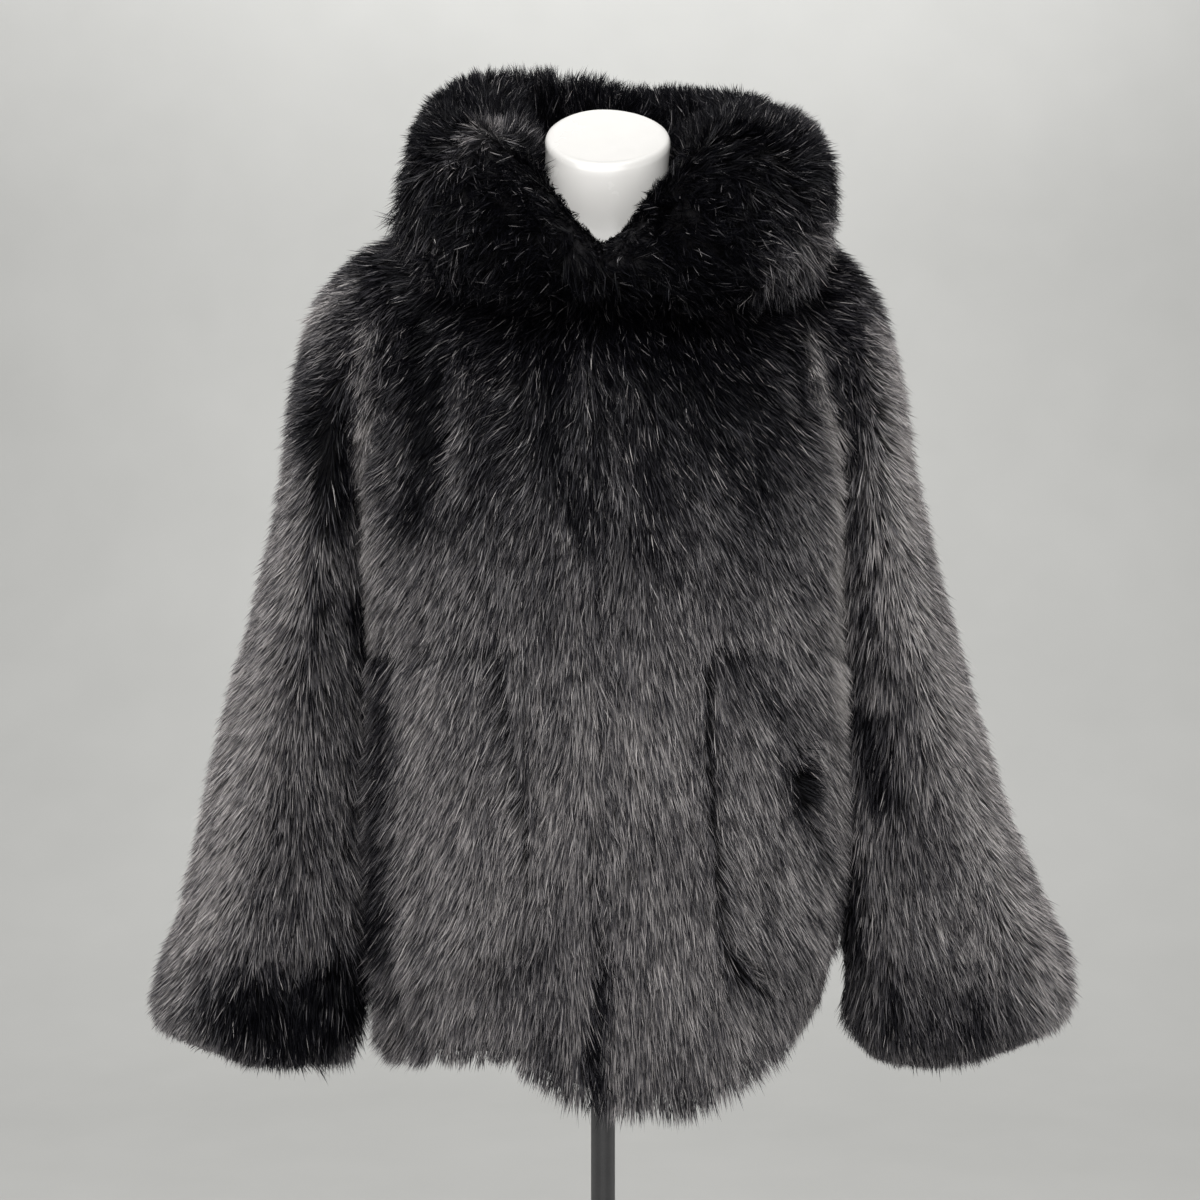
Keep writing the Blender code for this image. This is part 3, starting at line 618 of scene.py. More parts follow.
def mesh_of(name, vertices, face_sizes, corners):
    """A mesh from arrays: the vertices, each face's number of corners, and the corners in a row."""
    mesh = bpy.data.meshes.new(name)
    mesh.vertices.add(len(vertices))
    mesh.vertices.foreach_set("co", np.ascontiguousarray(vertices, np.float32).ravel())
    mesh.loops.add(len(corners))
    mesh.loops.foreach_set("vertex_index", np.ascontiguousarray(corners, np.int32))
    mesh.polygons.add(len(face_sizes))
    starts = np.concatenate(([0], np.cumsum(face_sizes)[:-1]))
    mesh.polygons.foreach_set("loop_start", np.ascontiguousarray(starts, np.int32))
    mesh.update(calc_edges=True)
    mesh.shade_smooth()
    return mesh


def add_piece(name, mesh, material):
    mesh.materials.append(material)
    piece = bpy.data.objects.new(name, mesh)
    bpy.context.scene.collection.objects.link(piece)
    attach(piece, "root")
    return piece


def shell_mesh(name, panel, thickness):
    """The backing cloth: a closed wall of even thickness round a panel's points."""
    rows, columns = panel.points.shape[:2]
    half = panel.normals * thickness / 2
    outside = (panel.points + half).reshape(-1, 3)
    inside = (panel.points - half).reshape(-1, 3)
    number = np.arange(rows * columns).reshape(rows, columns)
    if panel.closed:
        number = np.concatenate((number, number[:, :1]), axis=1)
    quads = np.stack((number[:-1, :-1], number[:-1, 1:], number[1:, 1:], number[1:, :-1]), axis=-1)
    quads = quads.reshape(-1, 4)
    count = rows * columns
    rims = [number[0, :], number[-1, ::-1]]
    if not panel.closed:
        rims += [number[::-1, 0], number[:, -1]]
    walls = [np.stack((r[1:], r[:-1], r[:-1] + count, r[1:] + count), axis=-1) for r in rims]
    faces = np.concatenate([quads, quads[:, ::-1] + count, *walls])
    vertices = np.concatenate((outside, inside))
    a, b, c = (vertices[faces[0][k]] for k in (0, 1, 2))
    if np.dot(np.cross(b - a, c - b), panel.normals[0, 0]) < 0:
        faces = faces[:, ::-1]
    return mesh_of(name, vertices, np.full(len(faces), 4), faces.ravel())


# ---------------------------------------------------------------------------------------------
# The pile. A straight hair is one face, widest at its knee, and a bent one two, widest midway.
# Lengths are in metres and angles in degrees.
# ---------------------------------------------------------------------------------------------

FACES_IN_ALL = 925_000
MOST_FACES_A_PIECE = 199_000
STRAIGHT_SHARE = 0.75
FACES_A_HAIR = STRAIGHT_SHARE + 2 * (1 - STRAIGHT_SHARE)
LOCK_HAIRS = 9
LOCK_RADIUS = 0.0058
LOCK_GATHER = 0.24
HAIR_LENGTH = 0.030
HAIR_WIDTH = 0.00080
KNEE = 0.58
HAIR_SINK = 0.0004
HAIR_ROLL = 75.0
BACK_LIMIT = 0.2165

# How locks differ: to the side and in lift as shares of how wild they lie, in length, and in tone.
# Each SPREAD is a standard deviation, and each DRIFT the width and height of its spots and a seed.
LOCK_ASIDE_SPREAD = 0.9
LOCK_ASIDE_DRIFT = (0.03, 0.06, 11)
LOCK_LIFT_SPREAD = 0.5
LOCK_LIFT_DRIFT = (0.04, 0.05, 12)
LOCK_LENGTH_SPREAD = 0.08
LOCK_TONE_SPREAD = 0.035
LOCK_TONE_DRIFT = (0.020, 0.07, 13)

# How the hairs of a lock differ, how far they gather to its middle and its tip, and how the lift
# is kept in bounds and eases towards the tip.
HAIR_ASIDE_SPREAD = 8
HAIR_LIFT_SPREAD = 6
HAIR_LENGTHS = (0.70, 1.15)
HAIR_WIDTHS = (0.75, 1.2)
MIDDLE_GATHER = LOCK_GATHER * 0.4
WILD_GATHER = 0.012
WILD_GATHER_FROM = 6
LIFT_LIMITS = (8, 84)
LIFT_LEFT_AT_TIP = 0.55

# Guard hairs are lighter than the underfur. A few hairs are painted lighter as glints, painted
# highlights, and more of them where it is dark.
GUARD_SHARE = 0.48
GUARD_TONE = (0.00, 0.26)
UNDER_TONE = (-0.42, -0.06)
DARK_TONES = (0.58, 0.14)
DARK_DEEPENS = 0.09
GLINT_SHARE = 0.025
GLINT_SHARE_DARK = 0.095
GLINT_TONE = (0.14, 0.56)
GLINT_TONE_DARK = 0.12
TONE_LIMITS = (0.02, 0.98)

# A hair's places in the map: half its width across, and its root, middle and tip up.
TONE_MARGIN = 0.002
MAP_ROOT, MAP_MIDDLE, MAP_TIP = 0.02, 0.5, 0.98

# Root density against the fronts', the hairs' width and length against the usual, and how wild
# the locks lie, in degrees. On the chest they lie wilder.
Growth = namedtuple("Growth", "density width length wild")
GROWTHS = {
    "front": Growth(1.00, 1.00, 1.00, 4),
    "pocket": Growth(1.00, 1.00, 1.00, 4),
    "back": Growth(0.66, 1.25, 1.00, 5),
    "sleeve": Growth(0.86, 1.05, 0.97, 5),
    "cuff": Growth(0.92, 1.05, 0.97, 7),
    "hood": Growth(0.90, 1.00, 1.10, 23),
}
WILD_CHEST = 9
WILD_CHEST_HEIGHTS = (1.06, 1.24)

# Partings in the front, seen in the plane of the picture. reach is how far each side leans away,
# lean how strongly, and shade how much darker the pile is painted there: painted shade in the
# slit where the fronts meet, in the pocket's mouth and along its edges.
Parting = namedtuple("Parting", "name x_from z_from x_to z_to reach lean shade")
PARTINGS = (
    Parting("centre front", 0.000, 1.290, -0.001, 0.790, 0.006, -0.35, 0.06),
    Parting("fronts meet, low", -0.002, 0.722, -0.007, 0.665, 0.012, -0.45, 0.60),
    Parting("fronts meet at the hem", -0.009, 0.660, -0.005, 0.612, 0.014, -0.50, 0.62),
    Parting("fronts meet, above", -0.001, 0.790, -0.001, 0.720, 0.008, -0.40, 0.14),
    Parting("left pocket, inner edge", 0.0845, 0.985, 0.0865, 0.850, 0.008, 0.45, 0.19),
    Parting("left pocket, inner edge below", 0.0865, 0.850, 0.093, 0.765, 0.009, 0.40, 0.12),
    Parting("left pocket, corner", 0.094, 0.755, 0.104, 0.722, 0.011, 0.45, 0.16),
    Parting("left pocket, notch", 0.106, 0.718, 0.124, 0.703, 0.012, 1.00, 0.36),
    Parting("left pocket, top", 0.084, 0.984, 0.205, 0.981, 0.010, 0.30, 0.13),
    Parting("left pocket, mouth", 0.156, 0.890, 0.162, 0.856, 0.012, 1.50, 0.75),
    Parting("left pocket, below the mouth", 0.164, 0.842, 0.178, 0.815, 0.010, 0.50, 0.22),
    Parting("right pocket, top", -0.195, 0.984, -0.088, 0.985, 0.010, 0.30, 0.14),
    Parting("right pocket, inner edge", -0.082, 0.982, -0.062, 0.862, 0.011, 0.30, 0.16),
    Parting("right pocket, inner edge below", -0.062, 0.862, -0.050, 0.760, 0.010, 0.25, 0.12),
    Parting("right pocket, corner", -0.040, 0.748, -0.088, 0.711, 0.012, 0.40, 0.19),
)
PARTING_LIFT = 12

DRIFT_WAVES = 10


def smooth(value, low, high):
    """0 at low and 1 at high, whichever is the greater, with soft ends."""
    part = np.clip((value - low) / (high - low), 0, 1)
    return part * part * (3 - 2 * part)


def between(low, high, share):
    return low + (high - low) * share


def drift(points, sideways, upright, seed):
    """A slow, uneven value about 0 over the points, with spots of the two sizes given in metres."""
    rng = np.random.default_rng(seed)
    spots = np.array((sideways, sideways, upright))
    waves = rng.normal(0, 1, (DRIFT_WAVES, 3)) * 2 * np.pi / 3 / spots
    starts = rng.uniform(0, 2 * np.pi, DRIFT_WAVES)
    return np.cos(points @ waves.T + starts).sum(axis=1) / math.sqrt(DRIFT_WAVES / 2)


def in_degrees_down(fan, side):
    """Straight down, turned outwards by fan degrees towards the side given by its sign."""
    turned = np.radians(fan)
    return np.stack((np.sign(side) * np.sin(turned), np.zeros_like(fan), -np.cos(turned)), axis=-1)


# How the pile lies at each root: its way, how far it stands up in degrees, and its share of the
# usual length.
Lie = namedtuple("Lie", "way lift length")

# A measure of the roots, running softly from 0 at the number zero to 1 at the number one. z is a
# root's height, x its place to the wearer's left, aside the size of x, and off_crown how far to a
# side it is of the crown's middle. The others run to 1 at most. They say how far a normal points:
# up, ahead, sideways to either side, out from the body on a sleeve, or inward to the neck on the
# hood. forward says how far ahead of the neck a root on the hood is.
Span = namedtuple("Span", "measure zero one")

# A patch where the pile lies otherwise, which is where its spans meet, and what it adds there: to
# the way across and up, to the lift and to the length.
Patch = namedtuple("Patch", "name spans across up lift length", defaults=(0.0, 0.0, 0.0, 0.0))


def share_in(spans, measures):
    """1 where all the spans meet, 0 outside them."""
    share = 1.0
    for span in spans:
        share = share * smooth(measures[span.measure], span.zero, span.one)
    return share


def with_patches(patches, measures, lie):
    """The lie of the pile with what its patches add."""
    way, lift, length = lie
    for patch in patches:
        share = share_in(patch.spans, measures)
        way = way + share[:, None] * (patch.across, 0, patch.up)
        lift = lift + share * patch.lift
        length = length + share * patch.length
    return Lie(way, lift, length)


BODY_HALF_WIDTH = 0.195
BODY_FAN = 18
BODY_FAN_HIGH = {"left": 44, "right": 52}
BODY_FAN_HEIGHTS = (0.97, 1.23)
BODY_FAN_POWER = 0.8
BODY_LIFT = (21, 42)
BODY_LIFT_POWER = 2.2
AT_SIDE = Span("sideways", 0.65, 0.95)
AT_FRONT = Span("sideways", 0.95, 0.65)
RIGHT_SIDE = (AT_SIDE, Span("x", 0.0, -0.01))
RIGHT_SIDE_LOW = (*RIGHT_SIDE, Span("z", 1.0, 0.8))
LEFT_SIDE = (AT_SIDE, Span("x", 0.0, 0.01))
BODY_PATCHES = (
    Patch("right side, low", RIGHT_SIDE_LOW, lift=14, length=0.26),
    Patch("right side, by the cuff", (*RIGHT_SIDE_LOW, Span("z", 0.74, 0.70)), length=0.12),
    Patch("right side, hem", (*RIGHT_SIDE, Span("z", 0.662, 0.622)), lift=18, length=-0.60),
    Patch(
        "right front, hem",
        (AT_FRONT, Span("z", 0.69, 0.65), Span("x", -0.02, -0.08)),
        length=-0.42,
    ),
    Patch("left side, low", (*LEFT_SIDE, Span("z", 0.80, 0.74)), lift=-8, length=-0.20),
)


def comb_body(roots, normals):
    """Down, fanning outwards from the centre front and the centre back, and fuller at the sides."""
    x, z = roots[:, 0], roots[:, 2]
    aside = np.clip(np.abs(x) / BODY_HALF_WIDTH, 0, 1)
    fan_high = np.where(x < 0, BODY_FAN_HIGH["right"], BODY_FAN_HIGH["left"])
    fan = between(BODY_FAN, fan_high, smooth(z, *BODY_FAN_HEIGHTS)) * aside**BODY_FAN_POWER
    lift = between(*BODY_LIFT, aside**BODY_LIFT_POWER)
    way = in_degrees_down(fan, x)
    front = normals[:, 1] < 0
    for parting in PARTINGS:
        away, near = beside(parting, roots)
        near = np.where(front, near, 0.0) * parting.lean
        way = way + away * near[:, None]
        lift = lift + PARTING_LIFT * np.clip(near, 0, 1)
    measures = {"x": x, "z": z, "sideways": np.abs(normals[:, 0])}
    return with_patches(BODY_PATCHES, measures, Lie(way, lift, np.ones(len(x))))


POCKET_SWEEP = 20.0
POCKET_SWEEP_SHARE = 0.25


def comb_pocket(roots, normals):
    """As on the front, but swept further out."""
    lie = comb_body(roots, normals)
    swept = in_degrees_down(np.full(len(roots), POCKET_SWEEP), roots[:, 0])
    return lie._replace(way=unit(lie.way + swept * (POCKET_SWEEP_SHARE, 0, 0)))


def beside(parting, roots):
    """The way away from a parting for each root, and 1 on it to 0 at its reach."""
    start = np.array((parting.x_from, parting.z_from))
    line = np.array((parting.x_to, parting.z_to)) - start
    place = roots[:, (0, 2)] - start
    along = np.clip(place @ line / (line @ line), 0, 1)
    off = place - along[:, None] * line
    distance = np.linalg.norm(off, axis=1)
    to_side = off / np.maximum(distance, TINY)[:, None]
    away = np.stack((to_side[:, 0], np.zeros(len(off)), to_side[:, 1]), axis=-1)
    return away, np.clip(1 - distance / parting.reach, 0, 1)


# out runs from 0 where the sleeve's normal points this far inwards, to 1 where it points outwards.
SLEEVE_OUT_FROM = 0.6
SLEEVE_FAN = (4, 34)
SLEEVE_FAN_HIGH = 40
SLEEVE_LIFT = (24, 44)
SLEEVE_LIFT_HIGH = 14
SLEEVE_LIFT_POWER = 1.5
SLEEVE_LIFT_UNDER = 52
SLEEVE_HIGH = (1.04, 1.26)
UNDER_CUFF = Span("up", -0.2, -0.9)
INNER_SIDE = (Span("out", -0.4, -0.95), Span("z", 1.0, 0.8))
CUFF_FOOT = (Span("z", 0.67, 0.63), Span("up", -0.9, -0.2))
BOTH_SLEEVE_PATCHES = (
    Patch("inner side", INNER_SIDE, lift=16, length=0.15),
    Patch("shoulder", (Span("z", 1.25, 1.30), Span("up", 0.3, 0.8)), lift=-12, length=-0.12),
    Patch("cuff, outer foot", (Span("z", 0.69, 0.64), Span("out", -0.2, 0.4)), length=-0.30),
    Patch("cuff, foot", CUFF_FOOT, length=-0.20),
    Patch("cuff, under", (UNDER_CUFF,), length=-0.55),
)
SLEEVE_PATCHES = {
    1: (
        *BOTH_SLEEVE_PATCHES,
        Patch("cuff, inner foot", (*INNER_SIDE, *CUFF_FOOT), length=-0.42),
        Patch(
            "cuff, inner side",
            (*INNER_SIDE, Span("z", 0.82, 0.76), Span("z", 0.665, 0.70)),
            lift=-20,
            length=-0.30,
        ),
    ),
    -1: (
        *BOTH_SLEEVE_PATCHES,
        Patch("cuff, inner foot", (*INNER_SIDE, *CUFF_FOOT), length=0.25),
        Patch("cuff, inner side", (*INNER_SIDE, Span("z", 0.74, 0.70)), length=0.10),
    ),
}


def comb_sleeve(sign):
    def comb(roots, normals):
        """Down the sleeve, fanning out to its outer edge, and full towards the body low down."""
        z = roots[:, 2]
        outwards = normals[:, 0] * sign
        out = np.clip((outwards + SLEEVE_OUT_FROM) / (1 + SLEEVE_OUT_FROM), 0, 1)
        high = smooth(z, *SLEEVE_HIGH) * out
        fan = between(*SLEEVE_FAN, out) + SLEEVE_FAN_HIGH * high
        lift = between(*SLEEVE_LIFT, out**SLEEVE_LIFT_POWER) + SLEEVE_LIFT_HIGH * high
        way = in_degrees_down(fan, np.full(len(z), sign))
        measures = {"z": z, "out": outwards, "up": normals[:, 2]}
        lie = with_patches(SLEEVE_PATCHES[sign], measures, Lie(way, lift, np.ones(len(z))))
        under = share_in((UNDER_CUFF,), measures)
        return lie._replace(lift=between(lie.lift, SLEEVE_LIFT_UNDER, under))

    return comb


SEAM_CROSSING = 0.6
SEAM_CROSSING_REACH = 0.007
HOOD_CROWN_X = 0.06
HOOD_SHORTEST = 0.15

# How far the pile goes up for each step out: under the roll, on its top and on its inside. The
# numbers named FORE are added in front.
HOOD_RISE_UNDER = -0.9
HOOD_RISE_TOP = 1.0
HOOD_RISE_TOP_FORE = -1.4
HOOD_TOP = (-0.1, 0.8)
HOOD_RISE_INSIDE = 0.9
HOOD_RISE_INSIDE_FORE = -1.3
HOOD_TURN_INSIDE = 1.6
HOOD_ACROSS_INSIDE = -0.9
HOOD_ACROSS_FACE = 0.5
HOOD_LIFT = (42, 60)
HOOD_LIFT_UP = (0.0, 0.9)
HOOD_LIFT_FORE = 27
HOOD_LIP_TRIM = -0.45
LIP_TOP = (-0.1, 0.4)

FORE = Span("forward", 0.35, 0.80)
INSIDE = Span("inward", 0.1, 0.6)
FRONT_FACE = (Span("ahead", 0.3, 0.9), Span("up", 0.5, 0.0))
AT_SEAM = Span("aside", SEAM_CROSSING_REACH, 0.0)
AT_LIP = Span("aside", 0.06, 0.01)
OUTER_FOOT = (Span("z", 1.37, 1.31), Span("aside", 0.10, 0.15))
RIGHT_CORNER = (Span("z", 1.41, 1.37), Span("x", -0.13, -0.18))
LEFT_SWIRL = (Span("z", 1.39, 1.35), Span("x", 0.11, 0.15))
HOOD_PATCHES = (
    Patch("foot at the sides", OUTER_FOOT, lift=16, length=0.35),
    Patch("crown's left", (Span("z", 1.37, 1.45), Span("x", 0.05, 0.15)), length=-0.26),
    Patch("crown's right", (Span("z", 1.37, 1.45), Span("x", -0.05, -0.15)), length=-0.40),
    Patch(
        "crown's middle",
        (Span("z", 1.42, 1.46), Span("off_crown", 0.08, 0.04), Span("forward", 0.80, 0.35)),
        length=-0.30,
    ),
    Patch("front", (FORE,), length=-0.25),
    Patch("front, inside", (FORE, INSIDE), length=-0.35),
    Patch("right corner", RIGHT_CORNER, up=-0.8, length=0.85),
    Patch("right corner's foot", (*RIGHT_CORNER, *OUTER_FOOT), length=-0.85),
    Patch("left swirl", LEFT_SWIRL, across=-1.3, up=-0.9, lift=-10),
)


def comb_hood(roots, normals):
    """Out of the roll: up over the crown, out at the sides, down in front and below.

    Near the centre front the pile lies flat, so that the neck stays free.
    """
    x, up = roots[:, 0], normals[:, 2]
    out = unit(roots * (1, 1, 0))
    side = np.sign(x)
    measures = {
        "x": x,
        "aside": np.abs(x),
        "z": roots[:, 2],
        "off_crown": np.abs(x - HOOD_CROWN_X),
        "up": up,
        "ahead": -normals[:, 1],
        "forward": -out[:, 1],
        "inward": -(normals * out).sum(axis=1),
    }
    fore, inside = share_in((FORE,), measures), share_in((INSIDE,), measures)
    front_face = share_in(FRONT_FACE, measures)
    rise_top = HOOD_RISE_TOP + HOOD_RISE_TOP_FORE * fore
    rise = between(HOOD_RISE_UNDER, rise_top, smooth(up, *HOOD_TOP))
    way = out * (1 - HOOD_TURN_INSIDE * inside)[:, None]
    way[:, 2] += between(rise, HOOD_RISE_INSIDE + HOOD_RISE_INSIDE_FORE * fore, inside)
    across = HOOD_ACROSS_INSIDE * fore * inside + HOOD_ACROSS_FACE * front_face
    way[:, 0] += side * (across - SEAM_CROSSING * share_in((AT_SEAM,), measures))
    lift = between(*HOOD_LIFT, smooth(up, *HOOD_LIFT_UP))
    lift = between(lift, HOOD_LIFT_FORE, np.maximum(front_face, fore))
    lip = share_in((AT_LIP, FORE), measures) * np.maximum(inside, smooth(up, *LIP_TOP))
    lie = with_patches(HOOD_PATCHES, measures, Lie(way, lift, 1 + HOOD_LIP_TRIM * lip))
    return lie._replace(length=np.maximum(lie.length, HOOD_SHORTEST))


# Where roots thin out: as a value runs from start to end, down to the share left.
Thinning = namedtuple("Thinning", "start end left")
UNDER_HOOD = Thinning(9.9, 10.4, 0.05)
SLEEVE_INNER = Thinning(0.3, 0.9, 0.60)
SLEEVE_BEHIND = Thinning(0.2, 0.8, 0.75)
CUFF_INSIDE = Thinning(12.6, 13.4, 0.40)
HOOD_UNDERSIDE = Thinning(1.6, 0.8, 0.07)
HOOD_INSIDE = Thinning(6.2, 6.9, 0.25)
POCKET_COVERED_LEFT = 0.03
POCKET_EDGE_ACROSS = (0.01, 0.05)
POCKET_FOOT_RISE = (0.05, 0.3)
POCKET_TOP_FALL = (0.05, 0.2)


def thinned(value, thinning):
    return 1 - (1 - thinning.left) * smooth(value, thinning.start, thinning.end)


def share_of_body(panel):
    """Root density over a front or the back: next to none where the hood covers it."""
    return thinned(panel.second, UNDER_HOOD)


def share_under_pocket(side, panel):
    """Root density over a front with a pocket on it: next to none behind the patch."""
    angle = np.abs(panel.first)
    across = (angle - angle[:, :1]) / np.ptp(angle, axis=1)[:, None]
    inset_from, inset_to = POCKET_EDGE_ACROSS
    first, last = POCKET_FIRST[side], POCKET_LAST
    covered = smooth(across, first + inset_from, first + inset_to)
    covered = covered * smooth(across, last - inset_from, last - inset_to)
    foot, top = POCKET_LEVELS
    covered = covered * smooth(panel.second, *(foot + rise for rise in POCKET_FOOT_RISE))
    covered = covered * smooth(panel.second, *(top - fall for fall in POCKET_TOP_FALL))
    return share_of_body(panel) * (1 - (1 - POCKET_COVERED_LEFT) * covered)


def share_of_sleeve(sign):
    def share(panel):
        """Fewer roots on the side that lies against the body, and few inside the cuff."""
        inner = thinned(-panel.normals[..., 0] * sign, SLEEVE_INNER)
        behind = thinned(panel.normals[..., 1], SLEEVE_BEHIND)
        return inner * behind * thinned(panel.second, CUFF_INSIDE)

    return share


def share_of_hood(panel):
    """Few roots under the roll and down its inside."""
    return thinned(panel.second, HOOD_UNDERSIDE) * thinned(panel.second, HOOD_INSIDE)


def cell_areas(panel):
    """The area of each cell of a panel's grid."""
    points = panel.points
    if panel.closed:
        points = np.concatenate((points, points[:, :1]), axis=1)
    across = points[:-1, 1:] - points[:-1, :-1]
    down = points[1:, :-1] - points[:-1, :-1]
    return np.linalg.norm(np.cross(across, down), axis=-1)


def read_grid(values, closed, row, column):
    """Reads a grid between its points."""
    rows, columns = values.shape[:2]
    low_row = np.clip(row.astype(int), 0, rows - 2)
    part_row = (row - low_row)[:, None]
    if closed:
        low_column = np.floor(column).astype(int) % columns
        next_column = (low_column + 1) % columns
        part_column = (column - np.floor(column))[:, None]
    else:
        low_column = np.clip(column.astype(int), 0, columns - 2)
        next_column = low_column + 1
        part_column = (column - low_column)[:, None]
    first = between(values[low_row, low_column], values[low_row, next_column], part_column)
    second = between(values[low_row + 1, low_column], values[low_row + 1, next_column], part_column)
    return between(first, second, part_row)


def scatter(panel, share, count, rng):
    """Grid places spread evenly over a panel by area times share."""
    cells_in_row = panel.points.shape[1] - (not panel.closed)
    total = np.cumsum((cell_areas(panel) * share[:-1, :cells_in_row]).ravel())
    picks = (np.arange(count) + rng.random(count)) / count * total[-1]
    cell = np.minimum(np.searchsorted(total, picks), len(total) - 1)
    row, column = np.divmod(cell, cells_in_row)
    return row + rng.random(count), column + rng.random(count)


def cell_steps(panel):
    """The length of a grid cell down and across at each grid point."""
    points = panel.points
    down = np.linalg.norm(np.gradient(points, axis=0), axis=-1, keepdims=True)
    if panel.closed:
        across = np.linalg.norm(np.roll(points, -1, axis=1) - points, axis=-1, keepdims=True)
    else:
        across = np.linalg.norm(np.gradient(points, axis=1), axis=-1, keepdims=True)
    return np.concatenate((down, across), axis=-1)


def bend(roots, normals, lie, aside, lift, reach):
    """Middle, tip and first way of hairs that stand up at their root and lie over to their tip."""
    along = unit(lie.way - normals * (lie.way * normals).sum(axis=1, keepdims=True))
    aside = np.radians(aside)[:, None]
    way = along * np.cos(aside) + np.cross(normals, along) * np.sin(aside)
    lift = np.radians(np.clip(lie.lift + lift, *LIFT_LIMITS))[:, None]
    half_length = (reach * lie.length / 2)[:, None]
    first = way * np.cos(lift) + normals * np.sin(lift)
    lift = lift * LIFT_LEFT_AT_TIP
    second = way * np.cos(lift) + normals * np.sin(lift)
    middle = roots + first * half_length
    return middle, middle + second * half_length, first


def place_roots(panel, share, locks, rng):
    """The grid places of the locks and of their hairs, each a row and a column."""
    lock_row, lock_column = scatter(panel, share, locks, rng)
    steps = read_grid(cell_steps(panel), panel.closed, lock_row, lock_column)
    lock = np.repeat(np.arange(locks), LOCK_HAIRS)
    radius = LOCK_RADIUS * np.sqrt(rng.random(len(lock)))
    turn = rng.random(len(lock)) * 2 * np.pi
    rows, columns = panel.points.shape[:2]
    row = np.clip(lock_row[lock] + radius * np.cos(turn) / steps[lock, 0], 0, rows - 1)
    column = lock_column[lock] + radius * np.sin(turn) / steps[lock, 1]
    if not panel.closed:
        column = np.clip(column, 0, columns - 1)
    return (lock_row, lock_column), (row, column)


def on_shell(panel, row, column):
    """Points on the backing's outer face at grid places, and their normals."""
    points = read_grid(panel.points, panel.closed, row, column)
    normals = unit(read_grid(panel.normals, panel.closed, row, column))
    return points + normals * (SHELL / 2 - HAIR_SINK), normals


def hair_tones(tone, rng):
    """The hairs' tones about that of the pile: guard hairs, underfur, and glints painted in as
    lighter hairs.
    """
    hairs = len(tone)
    dark = smooth(tone, *DARK_TONES)
    guard = rng.random(hairs) < GUARD_SHARE
    tone += np.where(guard, rng.uniform(*GUARD_TONE, hairs), rng.uniform(*UNDER_TONE, hairs))
    tone -= DARK_DEEPENS * dark
    # Painted highlights: glinting hairs get a lighter tone, most where the pile is dark.
    glint = rng.random(hairs) < GLINT_SHARE + GLINT_SHARE_DARK * dark
    tone += np.where(glint, rng.uniform(*GLINT_TONE, hairs) + GLINT_TONE_DARK * dark, 0)
    return np.clip(tone, *TONE_LIMITS)


def grow_pile(panel, share, growth, count, comb, tone_of, seed):
    """The hairs of a panel: roots, middles, tips, half widths, tones, and which are straight."""
    rng = np.random.default_rng(seed)
    locks = max(count // LOCK_HAIRS, 1)
    lock_places, hair_places = place_roots(panel, share, locks, rng)
    roots, normals = on_shell(panel, *lock_places)
    wild = growth.wild + WILD_CHEST * smooth(roots[:, 2], *WILD_CHEST_HEIGHTS)
    lock_aside = rng.normal(0, LOCK_ASIDE_SPREAD, locks) + drift(roots, *LOCK_ASIDE_DRIFT)
    lock_lift = rng.normal(0, 1, locks) + drift(roots, *LOCK_LIFT_DRIFT)
    lock_reach = HAIR_LENGTH * growth.length * rng.normal(1.0, LOCK_LENGTH_SPREAD, locks)
    lock_tone = LOCK_TONE_SPREAD * (rng.normal(0, 1, locks) + drift(roots, *LOCK_TONE_DRIFT))
    lock_aside, lock_lift = wild * lock_aside, wild * LOCK_LIFT_SPREAD * lock_lift
    lie = comb(roots, normals)
    lock_middle, lock_tip, _ = bend(roots, normals, lie, lock_aside, lock_lift, lock_reach)

    lock = np.repeat(np.arange(locks), LOCK_HAIRS)
    hairs = len(lock)
    roots, normals = on_shell(panel, *hair_places)
    lie = comb(roots, normals)
    aside = lock_aside[lock] + rng.normal(0, HAIR_ASIDE_SPREAD, hairs)
    lift = lock_lift[lock] + rng.normal(0, HAIR_LIFT_SPREAD, hairs)
    reach = lock_reach[lock] * rng.uniform(*HAIR_LENGTHS, hairs)
    middle, tip, heading = bend(roots, normals, lie, aside, lift, reach)
    middle += (lock_middle[lock] - middle) * MIDDLE_GATHER
    tip_gather = LOCK_GATHER + WILD_GATHER * (wild[lock] - WILD_GATHER_FROM)[:, None]
    tip += (lock_tip[lock] - tip) * tip_gather
    tip[:, 1] = np.minimum(tip[:, 1], BACK_LIMIT)
    tone = hair_tones(tone_of(roots, normals) + lock_tone[lock], rng)

    beside_hair = unit(np.cross(heading, normals))
    roll = np.radians(rng.uniform(-HAIR_ROLL, HAIR_ROLL, hairs))[:, None]
    flat = beside_hair * np.cos(roll) + np.cross(beside_hair, heading) * np.sin(roll)
    half = HAIR_WIDTH * growth.width / 2 * rng.uniform(*HAIR_WIDTHS, hairs)[:, None]
    return roots, middle, tip, flat * half, tone, rng.random(hairs) < STRAIGHT_SHARE


